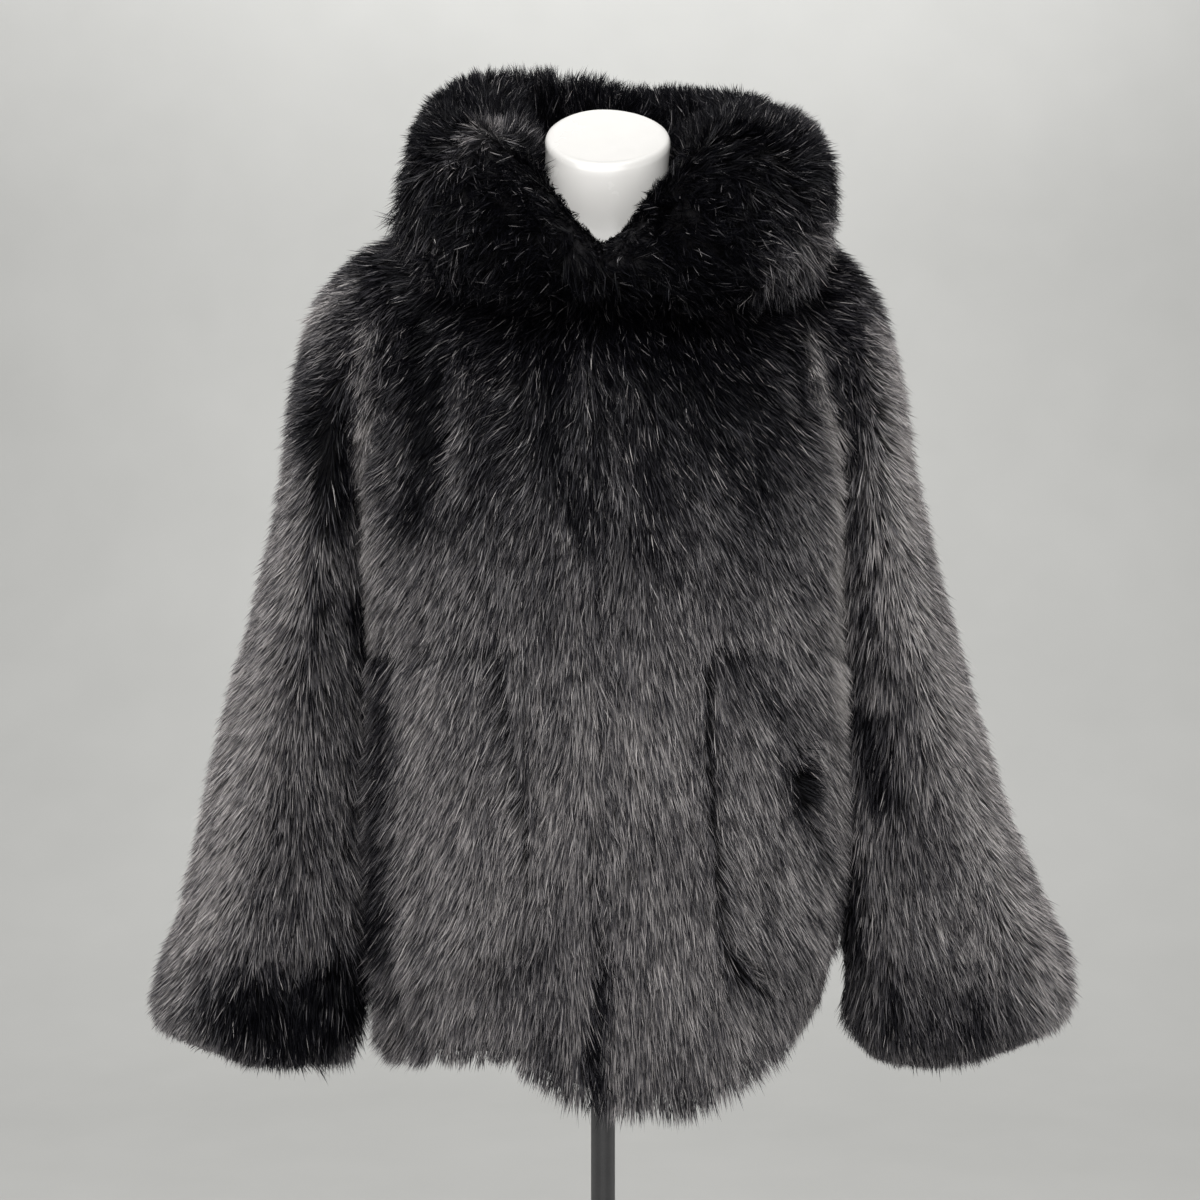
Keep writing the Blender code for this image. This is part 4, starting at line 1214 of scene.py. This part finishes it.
def pile_mesh(name, roots, middle, tip, half, tone, straight):
    """A mesh of the hairs. Its map holds a hair's tone across, and the way from root to tip up."""
    bent = ~straight
    knee = between(roots, tip, KNEE) + half * 2
    three = np.stack((roots, knee, tip), axis=1)[straight]
    four = np.stack((roots, middle - half, middle + half, tip), axis=1)[bent]
    vertices = np.concatenate((three.reshape(-1, 3), four.reshape(-1, 3)))
    loops = np.arange(three.shape[0] * 3)
    first = len(loops) + np.arange(len(four))[:, None] * 4
    loops = np.concatenate((loops, (first + (0, 2, 1, 1, 2, 3)).ravel()))
    mesh = mesh_of(name, vertices, np.full(len(loops) // 3, 3), loops)
    of_three = map_places(tone[straight], (-1, 1, -1), (MAP_ROOT, KNEE, MAP_TIP))
    heights = (MAP_ROOT, *(MAP_MIDDLE,) * 4, MAP_TIP)
    of_four = map_places(tone[bent], (0, 1, -1, -1, 1, 0), heights)
    places = np.concatenate((of_three, of_four))
    mesh.uv_layers.new(name="OFBake").uv.foreach_set("vector", places.astype(np.float32).ravel())
    return mesh


def map_places(tone, sides, heights):
    """The hairs' places in their map, a row of corners for each."""
    across = tone[:, None] + np.array(sides) * TONE_MARGIN
    return np.stack((across, np.broadcast_to(heights, across.shape)), axis=-1).reshape(-1, 2)


# ---------------------------------------------------------------------------------------------
# Tone: 0 is black and 1 the lightest grey of the pile. Rows by height, from the middle of a piece
# to its outer edge. The rows paint light and shade into the pile: the lighter outer edges are a
# painted rim of light, the darker inner sides of the sleeves painted shade against the body, the
# dark bands low on the cuffs painted shade under their rolls, and the lighter rows just under the
# hood painted light against its shadow. The fall from charcoal at the hem to black at the top is
# partly the pile's colour and partly painted light and shade.
# ---------------------------------------------------------------------------------------------

Tone = namedtuple("Tone", "height middle edge")
UNEVEN_HEIGHT = 0.007
UNEVEN_HEIGHT_DRIFT = (0.045, 0.06, 21)
BODY_TONES = (
    Tone(0.60, 0.60, 0.66),
    Tone(0.75, 0.67, 0.72),
    Tone(0.90, 0.67, 0.72),
    Tone(1.02, 0.59, 0.70),
    Tone(1.10, 0.43, 0.66),
    Tone(1.17, 0.25, 0.56),
    Tone(1.22, 0.16, 0.41),
    Tone(1.26, 0.15, 0.27),
    Tone(1.32, 0.20, 0.24),
)
SLEEVE_TONES = {
    1: (
        Tone(0.60, 0.66, 0.76),
        Tone(0.63, 0.50, 0.74),
        Tone(0.66, 0.36, 0.72),
        Tone(0.69, 0.42, 0.76),
        Tone(0.73, 0.60, 0.82),
        Tone(0.90, 0.62, 0.85),
        Tone(1.05, 0.56, 0.83),
        Tone(1.15, 0.50, 0.78),
        Tone(1.25, 0.26, 0.66),
        Tone(1.33, 0.12, 0.34),
    ),
    -1: (
        Tone(0.60, 0.68, 0.74),
        Tone(0.628, 0.60, 0.72),
        Tone(0.646, 0.34, 0.66),
        Tone(0.662, 0.02, 0.60),
        Tone(0.695, 0.01, 0.64),
        Tone(0.715, 0.18, 0.70),
        Tone(0.742, 0.54, 0.76),
        Tone(0.90, 0.60, 0.82),
        Tone(1.05, 0.49, 0.76),
        Tone(1.15, 0.29, 0.67),
        Tone(1.25, 0.22, 0.62),
        Tone(1.33, 0.12, 0.32),
    ),
}
HOOD_TONES = (
    Tone(1.22, 0.06, 0.22),
    Tone(1.30, 0.02, 0.30),
    Tone(1.36, 0.01, 0.26),
    Tone(1.44, 0.04, 0.12),
    Tone(1.50, 0.10, 0.14),
)


def tone_at(table, roots, outer):
    """The tone at each root; outer is 0 in the middle of the piece and 1 at its edge."""
    height = roots[:, 2] + UNEVEN_HEIGHT * drift(roots, *UNEVEN_HEIGHT_DRIFT)
    heights = [row.height for row in table]
    middle = np.interp(height, heights, [row.middle for row in table])
    edge = np.interp(height, heights, [row.edge for row in table])
    return between(middle, edge, outer)


# Strokes on the front, seen in the plane of the picture, that paint light and shade into the pile:
# painted shade in troughs, hollows and valleys, beside and inside the sleeves, under tufts and on
# the hood's lobes and foot, and painted light on ridges, folds, tufts and the body's rims, with a
# shade below 0.
Shade = namedtuple("Shade", "name x_from z_from x_to z_to reach shade")
SHADES = (
    Shade("right chest, trough", -0.147, 1.263, -0.138, 1.165, 0.024, 0.36),
    Shade("right chest, trough", -0.138, 1.165, -0.157, 1.098, 0.024, 0.36),
    Shade("right chest, ridge", -0.117, 1.222, -0.114, 1.130, 0.013, -0.28),
    Shade("right chest, tuft", -0.131, 1.120, -0.108, 1.119, 0.014, -0.08),
    Shade("right chest, high tufts", -0.100, 1.220, -0.059, 1.193, 0.017, -0.10),
    Shade("right of centre, trough", -0.041, 1.241, -0.038, 1.163, 0.013, 0.31),
    Shade("right of centre, trough", -0.038, 1.163, -0.016, 1.088, 0.013, 0.31),
    Shade("beside the seam", -0.002, 1.216, -0.009, 1.080, 0.008, 0.12),
    Shade("collarbone tuft", -0.020, 1.227, -0.010, 1.197, 0.010, -0.19),
    Shade("left of centre, ridge", 0.004, 1.200, 0.007, 1.134, 0.009, -0.12),
    Shade("left chest, hollow", 0.038, 1.224, 0.113, 1.204, 0.031, 0.24),
    Shade("left chest, trough", 0.070, 1.188, 0.120, 1.122, 0.020, 0.15),
    Shade("left of centre, trough", 0.036, 1.163, 0.040, 1.063, 0.012, 0.10),
    Shade("left chest, high tuft", 0.127, 1.230, 0.148, 1.196, 0.014, -0.23),
    Shade("left chest, outer trough", 0.122, 1.164, 0.139, 1.055, 0.011, 0.10),
    Shade("right body rim", -0.197, 1.262, -0.199, 1.180, 0.016, -0.46),
    Shade("right body rim", -0.202, 1.180, -0.206, 1.070, 0.019, -0.56),
    Shade("right body rim", -0.203, 1.070, -0.196, 1.000, 0.015, -0.40),
    Shade("right body rim, ridge", -0.205, 1.145, -0.203, 1.065, 0.014, -0.24),
    Shade("left body rim", 0.168, 1.257, 0.188, 1.177, 0.017, -0.47),
    Shade("left body rim", 0.188, 1.177, 0.196, 1.060, 0.018, -0.50),
    Shade("left body rim", 0.197, 1.060, 0.193, 0.940, 0.016, -0.46),
    Shade("left pocket rim", 0.193, 0.965, 0.197, 0.870, 0.010, -0.12),
    Shade("left pocket, above the mouth", 0.130, 0.954, 0.160, 0.894, 0.010, 0.20),
    Shade("left pocket, top corner", 0.107, 0.978, 0.168, 0.926, 0.030, 0.15),
    Shade("right waist, ridge", -0.121, 1.063, -0.134, 0.946, 0.019, -0.06),
    Shade("right waist, trough", -0.039, 1.063, -0.038, 0.881, 0.011, 0.09),
    Shade("front, low ridge", 0.046, 0.732, 0.079, 0.648, 0.020, -0.09),
    Shade("front, low trough", -0.051, 0.698, -0.035, 0.636, 0.012, 0.17),
    Shade("right hip, low", -0.184, 0.767, -0.182, 0.737, 0.012, 0.32),
    Shade("right side, beside the sleeve", -0.181, 0.975, -0.178, 0.725, 0.023, 0.40),
    Shade("right side, foot", -0.207, 0.700, -0.172, 0.695, 0.017, 0.40),
    Shade("right sleeve, inner shadow", -0.243, 1.233, -0.236, 1.168, 0.023, 0.29),
    Shade("right sleeve, inner shadow", -0.234, 1.168, -0.231, 1.128, 0.023, 0.26),
    Shade("right sleeve, inner shadow below", -0.221, 1.030, -0.212, 0.939, 0.015, 0.23),
    Shade("right sleeve, inner low", -0.218, 0.905, -0.212, 0.814, 0.017, 0.14),
    Shade("right sleeve, elbow", -0.241, 1.078, -0.227, 1.052, 0.017, -0.17),
    Shade("right sleeve, cap tuft", -0.212, 1.298, -0.246, 1.270, 0.021, -0.44),
    Shade("left sleeve, inner shadow", 0.209, 1.240, 0.217, 1.150, 0.009, 0.14),
    Shade("left sleeve, inner ridge", 0.226, 1.268, 0.238, 1.072, 0.015, -0.19),
    Shade("left sleeve, by the rim", 0.210, 1.110, 0.212, 1.020, 0.012, -0.42),
    Shade("left sleeve, inner", 0.225, 1.116, 0.230, 1.030, 0.010, 0.10),
    Shade("left sleeve, inner", 0.230, 1.030, 0.226, 0.926, 0.011, 0.16),
    Shade("left sleeve, inner low", 0.236, 0.928, 0.247, 0.862, 0.023, 0.42),
    Shade("left side, beside the sleeve", 0.199, 0.795, 0.200, 0.722, 0.012, 0.22),
    Shade("left sleeve, inner foot", 0.221, 0.805, 0.225, 0.715, 0.012, 0.30),
    Shade("left sleeve, outer ridge", 0.241, 1.250, 0.255, 1.090, 0.017, -0.18),
    Shade("left sleeve, middle ridge", 0.238, 1.082, 0.256, 0.987, 0.015, -0.14),
    Shade("hood, right tufts", -0.170, 1.358, -0.123, 1.302, 0.025, -0.22),
    Shade("hood, right tufts' shadow", -0.142, 1.283, -0.100, 1.280, 0.012, 0.11),
    Shade("hood, left tufts", 0.130, 1.301, 0.192, 1.357, 0.022, -0.40),
    Shade("hood, left tufts' shadow", 0.110, 1.279, 0.191, 1.287, 0.011, 0.14),
    Shade("hood, right fold", -0.134, 1.385, -0.102, 1.417, 0.015, -0.36),
    Shade("hood, right fold", -0.102, 1.417, -0.057, 1.431, 0.015, -0.44),
    Shade("hood, right valley", -0.144, 1.425, -0.100, 1.447, 0.012, 0.20),
    Shade("hood, right valley", -0.100, 1.447, -0.047, 1.444, 0.012, 0.20),
    Shade("hood, left fold", 0.113, 1.441, 0.141, 1.421, 0.014, -0.22),
    Shade("hood, right lobe", -0.108, 1.372, -0.035, 1.324, 0.034, 0.14),
    Shade("hood, left lobe", 0.046, 1.328, 0.107, 1.381, 0.034, 0.14),
    Shade("hood, front foot", -0.120, 1.300, 0.115, 1.300, 0.028, 0.14),
)


FACING_FRONT = (0.3, -0.1)


def stroke_shade(roots, normals):
    """How much darker the strokes' painted shade makes each root, or lighter their painted light.
    """
    shade = np.zeros(len(roots))
    for stroke in SHADES:
        _, near = beside(stroke, roots)
        shade += stroke.shade * smooth(near, 0, 1)
    return shade * smooth(normals[:, 1], *FACING_FRONT)


# Spans over which a piece's tone runs from its middle rows to its edge rows: the lighter edges are
# a painted rim of light, and a sleeve's darker inner side is painted shade.
BODY_EDGE = (0.12, 0.20)
SLEEVE_EDGE = (-0.4, 0.8)
HOOD_EDGE = (0.11, 0.18)


def body_tone(roots, normals):
    tone = tone_at(BODY_TONES, roots, smooth(np.abs(roots[:, 0]), *BODY_EDGE))
    front = normals[:, 1] < 0
    # Painted shade along the partings.
    for parting in PARTINGS:
        tone = tone - parting.shade * np.where(front, beside(parting, roots)[1], 0)
    return tone - stroke_shade(roots, normals)


def sleeve_tone(sign):
    def tone(roots, normals):
        outer = smooth(normals[:, 0] * sign, *SLEEVE_EDGE)
        return tone_at(SLEEVE_TONES[sign], roots, outer) - stroke_shade(roots, normals)

    return tone


def hood_tone(roots, normals):
    outer = smooth(np.abs(roots[:, 0]), *HOOD_EDGE)
    return tone_at(HOOD_TONES, roots, outer) - stroke_shade(roots, normals)


# ---------------------------------------------------------------------------------------------
# Materials.
# ---------------------------------------------------------------------------------------------

# A mix node has a set of sockets for each kind of value; these are the colours' numbers.
MIX_COLOUR_A, MIX_COLOUR_B, MIX_COLOUR_OUT = 6, 7, 2
NOISE_DETAIL = 4.0
NOISE_SPAN = (0.32, 0.68)


def new_material(name):
    material = bpy.data.materials.new(name)
    material.use_nodes = True
    return material, material.node_tree, material.node_tree.nodes["Principled BSDF"]


def mottle_group():
    """Uneven spots at two sizes: a mask, which also serves as a height, and a colour between two
    given ones.
    """
    group = bpy.data.node_groups.new("mottle", "ShaderNodeTree")
    face = group.interface
    for name, kind in (
        ("Coarse Scale", "NodeSocketFloat"),
        ("Fine Scale", "NodeSocketFloat"),
        ("Fine Share", "NodeSocketFloat"),
        ("Dark", "NodeSocketColor"),
        ("Light", "NodeSocketColor"),
    ):
        face.new_socket(name=name, in_out="INPUT", socket_type=kind)
    for name, kind in (("Mask", "NodeSocketFloat"), ("Color", "NodeSocketColor")):
        face.new_socket(name=name, in_out="OUTPUT", socket_type=kind)
    nodes, links = group.nodes, group.links
    given = nodes.new("NodeGroupInput")
    result = nodes.new("NodeGroupOutput")
    place = nodes.new("ShaderNodeTexCoord")
    spots = []
    for scale in ("Coarse Scale", "Fine Scale"):
        noise = nodes.new("ShaderNodeTexNoise")
        noise.inputs["Detail"].default_value = NOISE_DETAIL
        links.new(place.outputs["Object"], noise.inputs["Vector"])
        links.new(given.outputs[scale], noise.inputs["Scale"])
        spots.append(noise)
    both = nodes.new("ShaderNodeMix")
    both.data_type = "FLOAT"
    links.new(given.outputs["Fine Share"], both.inputs["Factor"])
    links.new(spots[0].outputs["Fac"], both.inputs["A"])
    links.new(spots[1].outputs["Fac"], both.inputs["B"])
    stretch = nodes.new("ShaderNodeMapRange")
    stretch.inputs["From Min"].default_value = NOISE_SPAN[0]
    stretch.inputs["From Max"].default_value = NOISE_SPAN[1]
    links.new(both.outputs["Result"], stretch.inputs["Value"])
    colour = nodes.new("ShaderNodeMix")
    colour.data_type = "RGBA"
    links.new(stretch.outputs["Result"], colour.inputs["Factor"])
    links.new(given.outputs["Dark"], colour.inputs[MIX_COLOUR_A])
    links.new(given.outputs["Light"], colour.inputs[MIX_COLOUR_B])
    links.new(stretch.outputs["Result"], result.inputs["Mask"])
    links.new(colour.outputs[MIX_COLOUR_OUT], result.inputs["Color"])
    return group


# How a solid material looks: its coarse and fine spots to a metre, the fine ones' share, the two
# colours and the two roughnesses that the spots run between, and the bump's strength and depth.
Finish = namedtuple("Finish", "coarse fine share dark light roughness bump depth")
FINISHES = {
    "backing": Finish(
        60.0, 900.0, 0.6, (0.0025, 0.0025, 0.0035), (0.014, 0.013, 0.015), (0.80, 0.98), 0.6, 0.0012
    ),
    "form_shell": Finish(
        5.0, 60.0, 0.25, (0.67, 0.66, 0.645), (0.73, 0.72, 0.705), (0.22, 0.32), 0.08, 0.0008
    ),
    "stand_metal": Finish(
        30.0, 700.0, 0.5, (0.040, 0.040, 0.042), (0.064, 0.064, 0.066), (0.42, 0.55), 0.10, 0.0003
    ),
    "studio_paper": Finish(
        0.9, 6.0, 0.25, (0.40, 0.40, 0.392), (0.44, 0.44, 0.432), (0.9, 0.9), 0.0, 0.0
    ),
}


def map_range(tree, value, start, end, low, high):
    """The output of a new node that turns the span from start to end into that from low to high."""
    node = tree.nodes.new("ShaderNodeMapRange")
    for name, number in (("From Min", start), ("From Max", end), ("To Min", low), ("To Max", high)):
        node.inputs[name].default_value = number
    tree.links.new(value, node.inputs["Value"])
    return node.outputs["Result"]


def finished(name, group):
    """A material with its finish, and its tree, its shader and the output of its colour."""
    finish = FINISHES[name]
    material, tree, shader = new_material(name)
    spots = tree.nodes.new("ShaderNodeGroup")
    spots.node_tree = group
    spots.inputs["Coarse Scale"].default_value = finish.coarse
    spots.inputs["Fine Scale"].default_value = finish.fine
    spots.inputs["Fine Share"].default_value = finish.share
    spots.inputs["Dark"].default_value = (*finish.dark, 1.0)
    spots.inputs["Light"].default_value = (*finish.light, 1.0)
    tree.links.new(spots.outputs["Color"], shader.inputs["Base Color"])
    if not finish.bump:
        shader.inputs["Roughness"].default_value = finish.roughness[0]
        return material, tree, shader, spots.outputs["Color"]
    roughness = map_range(tree, spots.outputs["Mask"], 0.0, 1.0, *finish.roughness)
    tree.links.new(roughness, shader.inputs["Roughness"])
    bump = tree.nodes.new("ShaderNodeBump")
    bump.inputs["Strength"].default_value = finish.bump
    bump.inputs["Distance"].default_value = finish.depth
    tree.links.new(spots.outputs["Mask"], bump.inputs["Height"])
    tree.links.new(bump.outputs["Normal"], shader.inputs["Normal"])
    return material, tree, shader, spots.outputs["Color"]


PILE_COLOURS = (
    (0.00, (0.0018, 0.0018, 0.0030)),
    (0.20, (0.0080, 0.0080, 0.0110)),
    (0.45, (0.045, 0.043, 0.050)),
    (0.70, (0.190, 0.180, 0.185)),
    (1.00, (0.450, 0.425, 0.420)),
)
# Along each hair its colour is scaled from the first at its root to the second at its tip: painted
# shade deep in the pile.
PILE_SHADES = (0.10, 1.35)
PILE_ROUGHNESS = 0.36
PILE_SHINE = (0.05, 0.22)
SHINE_FULL_TONE = 0.5
BACKING_SHINE = 0.2
# Painted shade on the form's neck: from the lower height to the upper its colour rises from this
# share to full, darkest at the neck's foot in the pile.
NECK_SHADOW_HEIGHTS = (1.318, 1.400)
NECK_SHADOW_VALUE = 0.36
METAL_SHARE = 0.3


def pile_material():
    """Hair by hair: the map's across gives the tone, and its up darkens the hair to its root,
    painted shade deep in the pile.
    """
    material, tree, shader = new_material("pile")
    place = tree.nodes.new("ShaderNodeUVMap")
    place.uv_map = "OFBake"
    parts = tree.nodes.new("ShaderNodeSeparateXYZ")
    ramp = tree.nodes.new("ShaderNodeValToRGB")
    elements = ramp.color_ramp.elements
    while len(elements) < len(PILE_COLOURS):
        elements.new(0.5)
    for element, (position, colour) in zip(elements, PILE_COLOURS, strict=True):
        element.position = position
        element.color = (*colour, 1.0)
    darken = tree.nodes.new("ShaderNodeMix")
    darken.data_type = "RGBA"
    darken.blend_type = "MULTIPLY"
    darken.inputs["Factor"].default_value = 1.0
    grey = tree.nodes.new("ShaderNodeCombineColor")
    tree.links.new(place.outputs["UV"], parts.inputs["Vector"])
    tree.links.new(parts.outputs["X"], ramp.inputs["Fac"])
    shade = map_range(tree, parts.outputs["Y"], 0.0, 1.0, *PILE_SHADES)
    for channel in ("Red", "Green", "Blue"):
        tree.links.new(shade, grey.inputs[channel])
    tree.links.new(ramp.outputs["Color"], darken.inputs[MIX_COLOUR_A])
    tree.links.new(grey.outputs["Color"], darken.inputs[MIX_COLOUR_B])
    tree.links.new(darken.outputs[MIX_COLOUR_OUT], shader.inputs["Base Color"])
    shine = map_range(tree, parts.outputs["X"], 0.0, SHINE_FULL_TONE, *PILE_SHINE)
    tree.links.new(shine, shader.inputs["Specular IOR Level"])
    shader.inputs["Roughness"].default_value = PILE_ROUGHNESS
    return material


def backing_material(mottle):
    """The knitted backing with its packed underfur: black, rough and uneven."""
    material, _, shader, _ = finished("backing", mottle)
    shader.inputs["Specular IOR Level"].default_value = BACKING_SHINE
    return material


def form_material(mottle):
    """Gloss white moulded shell, very slightly uneven, with painted shade at the foot of its neck,
    where the pile shades it.
    """
    material, tree, shader, colour = finished("form_shell", mottle)
    place = tree.nodes.new("ShaderNodeTexCoord")
    parts = tree.nodes.new("ShaderNodeSeparateXYZ")
    tree.links.new(place.outputs["Object"], parts.inputs["Vector"])
    # Painted shade: the neck darkens towards its foot, down in the pile.
    neck_shadow = map_range(tree, parts.outputs["Z"], *NECK_SHADOW_HEIGHTS, NECK_SHADOW_VALUE, 1.0)
    darken = tree.nodes.new("ShaderNodeHueSaturation")
    tree.links.new(neck_shadow, darken.inputs["Value"])
    tree.links.new(colour, darken.inputs["Color"])
    tree.links.new(darken.outputs["Color"], shader.inputs["Base Color"])
    return material


def metal_material(mottle):
    """Dark grey satin paint on steel."""
    material, _, shader, _ = finished("stand_metal", mottle)
    shader.inputs["Metallic"].default_value = METAL_SHARE
    return material


# ---------------------------------------------------------------------------------------------
# The studio: a pale sheet of paper that sweeps up behind, and soft lights above, low in front, at
# both sides and on the paper.
# ---------------------------------------------------------------------------------------------

SWEEP_WIDTH = 24.0
SWEEP_FRONT = -9.0
SWEEP_BACK = 4.5
SWEEP_RADIUS = 2.2
SWEEP_TOP = 6.0
SWEEP_POINTS = 25
SWEEP_CORNERS = (0, 1, 3, 2)

Lamp = namedtuple("Lamp", "name place aim width height power colour")
LAMPS = (
    Lamp("top_light", (-0.3, -1.5, 3.3), (0.0, 0.0, 1.0), 2.4, 1.8, 80, (1.0, 0.995, 0.98)),
    Lamp("left_light", (-2.5, 0.1, 1.5), (0.0, 0.0, 1.0), 1.0, 2.2, 42, (1.0, 0.99, 0.97)),
    Lamp("right_light", (2.5, 0.1, 1.5), (0.0, 0.0, 1.0), 1.0, 2.2, 46, (1.0, 0.99, 0.97)),
    Lamp("low_front_light", (0.0, -3.4, 0.5), (0.0, 0.0, 0.9), 2.4, 1.2, 34, (1.0, 0.99, 0.98)),
    Lamp("paper_light", (0.0, 2.5, 4.3), (0.0, 4.5, 2.6), 4.5, 1.2, 136, (1.0, 1.0, 0.99)),
)
WORLD_COLOUR = (0.62, 0.62, 0.61)
WORLD_STRENGTH = 0.5


def add_sweep(material):
    """Floor, curve and wall as one sheet of paper."""
    turns = np.linspace(0, math.pi / 2, SWEEP_POINTS)
    foot = SWEEP_BACK - SWEEP_RADIUS
    curve = [(foot + SWEEP_RADIUS * math.sin(t), SWEEP_RADIUS * (1 - math.cos(t))) for t in turns]
    path = [(SWEEP_FRONT, 0.0), *curve, (SWEEP_BACK, SWEEP_TOP)]
    sides = (-SWEEP_WIDTH / 2, SWEEP_WIDTH / 2)
    vertices = np.array([(side, y, z) for y, z in path for side in sides])
    low = np.arange(len(path) - 1)[:, None] * 2
    faces = low + np.array(SWEEP_CORNERS)
    mesh = mesh_of("studio_sweep", vertices, np.full(len(faces), 4), faces.ravel())
    mesh.materials.append(material)
    sweep = bpy.data.objects.new("studio_sweep", mesh)
    bpy.context.scene.collection.objects.link(sweep)


def add_lamps():
    for lamp in LAMPS:
        data = bpy.data.lights.new(lamp.name, "AREA")
        data.shape = "RECTANGLE"
        data.size = lamp.width
        data.size_y = lamp.height
        data.energy = lamp.power
        data.color = lamp.colour
        light = bpy.data.objects.new(lamp.name, data)
        light.location = lamp.place
        aim = Vector(lamp.aim) - Vector(lamp.place)
        light.rotation_euler = aim.to_track_quat("-Z", "Y").to_euler()
        light.visible_camera = False
        bpy.context.scene.collection.objects.link(light)


def set_world():
    world = bpy.data.worlds.new("studio")
    world.use_nodes = True
    background = world.node_tree.nodes["Background"]
    background.inputs["Color"].default_value = (*WORLD_COLOUR, 1.0)
    background.inputs["Strength"].default_value = WORLD_STRENGTH
    bpy.context.scene.world = world
    bpy.context.scene.view_settings.view_transform = "Standard"


# ---------------------------------------------------------------------------------------------
# Cutting and sewing.
# ---------------------------------------------------------------------------------------------

SHELL = 0.0032

# The cut of each piece before it is sewn: its flat width and length, and its area.
Cut = namedtuple("Cut", "width length area held")


def all_panels():
    panels = body_panels()
    for side, sign in (("left", 1), ("right", -1)):
        panels.append(pocket_panel(side, sign))
        panels += sleeve_panels(side, sign)
        panels.append(hood_panel(side, sign))
    return panels


Plan = namedtuple("Plan", "share growth comb tone_of")


def pile_plan(panel):
    """How a panel's pile grows: where, how dense, how combed and in what tone."""
    kind, _, side = panel.name.partition("_")
    sign = -1 if side == "right" else 1
    growth = GROWTHS[kind]
    if kind == "front":
        return Plan(share_under_pocket(side, panel), growth, comb_body, body_tone)
    if kind == "back":
        return Plan(share_of_body(panel), growth, comb_body, body_tone)
    if kind == "pocket":
        return Plan(np.ones(panel.first.shape), growth, comb_pocket, body_tone)
    if kind == "hood":
        return Plan(share_of_hood(panel), growth, comb_hood, hood_tone)
    return Plan(share_of_sleeve(sign)(panel), growth, comb_sleeve(sign), sleeve_tone(sign))


def rooted_area(panel, plan):
    spans = panel.points.shape[1] - (not panel.closed)
    return float((cell_areas(panel) * plan.share[:-1, :spans]).sum() * plan.growth.density)


def make_jacket(pile, backing):
    panels = all_panels()
    plans = [pile_plan(panel) for panel in panels]
    areas = [rooted_area(panel, plan) for panel, plan in zip(panels, plans, strict=True)]
    for number, (panel, plan, area) in enumerate(zip(panels, plans, areas, strict=True)):
        faces = min(FACES_IN_ALL * area / sum(areas), MOST_FACES_A_PIECE)
        name = panel.name + "_cloth"
        shell = add_piece(name, shell_mesh(name, panel, SHELL), backing)
        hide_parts(panel.name)
        hairs = grow_pile(
            panel,
            plan.share,
            plan.growth,
            int(faces / FACES_A_HAIR),
            plan.comb,
            plan.tone_of,
            seed=number + 1,
        )
        name = panel.name + "_pile"
        fur = add_piece(name, pile_mesh(name, *hairs), pile)


def form_loops():
    """The form's loops from its underside to the middle of its neck cap."""
    angle = np.arange(FORM_SEGMENTS) * 360.0 / FORM_SEGMENTS
    signed = np.where(angle > 180, angle - 360, angle)

    def loops_of(levels, lean):
        numbers = np.array(numbers_of(levels))[:, None, :]
        return loop_point(np.repeat(numbers, FORM_SEGMENTS, axis=1), signed, lean)

    shoulders = []
    for shoulder in FORM_SHOULDERS:
        level = np.full(FORM_SEGMENTS, shoulder.level)
        away = outward(normal_of(body, signed, level), signed)
        shoulders.append(body(signed, level) - away * (CLOTH / 2 + shoulder.clearance))
    neck = loops_of(FORM_NECK_LEVELS, FLAT_LEAN)
    middle = neck[-1].mean(axis=0)
    cap = np.array([middle + (neck[-1] - middle) * share for share in CAP_SHARES])
    return np.concatenate((loops_of(FORM_LEVELS, LOOP_LEAN), shoulders, neck, cap))


def form_mesh():
    """The dress form: one smooth closed skin through its loops."""
    loops = form_loops()
    rows = (len(loops) - 1) * FORM_ROWS_A_LOOP + 1
    flat = loops.reshape(len(loops), -1)
    points = curve_through(flat, np.linspace(0, len(loops) - 1, rows)).reshape(rows, -1, 3)
    number = np.arange(rows * FORM_SEGMENTS).reshape(rows, -1)
    number = np.concatenate((number, number[:, :1]), axis=1)
    quads = np.stack((number[:-1, :-1], number[:-1, 1:], number[1:, 1:], number[1:, :-1]), axis=-1)
    corners = np.concatenate((quads.ravel(), number[0, -1:0:-1], number[-1, :-1]))
    sizes = np.concatenate((np.full(quads.size // 4, 4), (FORM_SEGMENTS, FORM_SEGMENTS)))
    return mesh_of("dress_form_skin", points.reshape(-1, 3), sizes, corners)


FORM_SHARP, STAND_SHARP = math.radians(50), math.radians(35)


def finish_stand(form, metal):
    """Puts the form's skin in its solid's place, and paints the stand's solids."""
    skin = add_piece("dress_form_skin", form_mesh(), form)
    skin.data.set_sharp_from_angle(angle=FORM_SHARP)
    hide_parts("dress_form")
    for node in ("pole_collar", "pole", "base"):
        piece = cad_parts[node]
        for slot in piece.material_slots:
            slot.material = metal
        piece.data.shade_smooth()
        piece.data.set_sharp_from_angle(angle=STAND_SHARP)


def main():
    place_camera()
    mottle = mottle_group()
    make_jacket(pile_material(), backing_material(mottle))
    finish_stand(form_material(mottle), metal_material(mottle))
    add_sweep(finished("studio_paper", mottle)[0])
    add_lamps()
    set_world()


main()
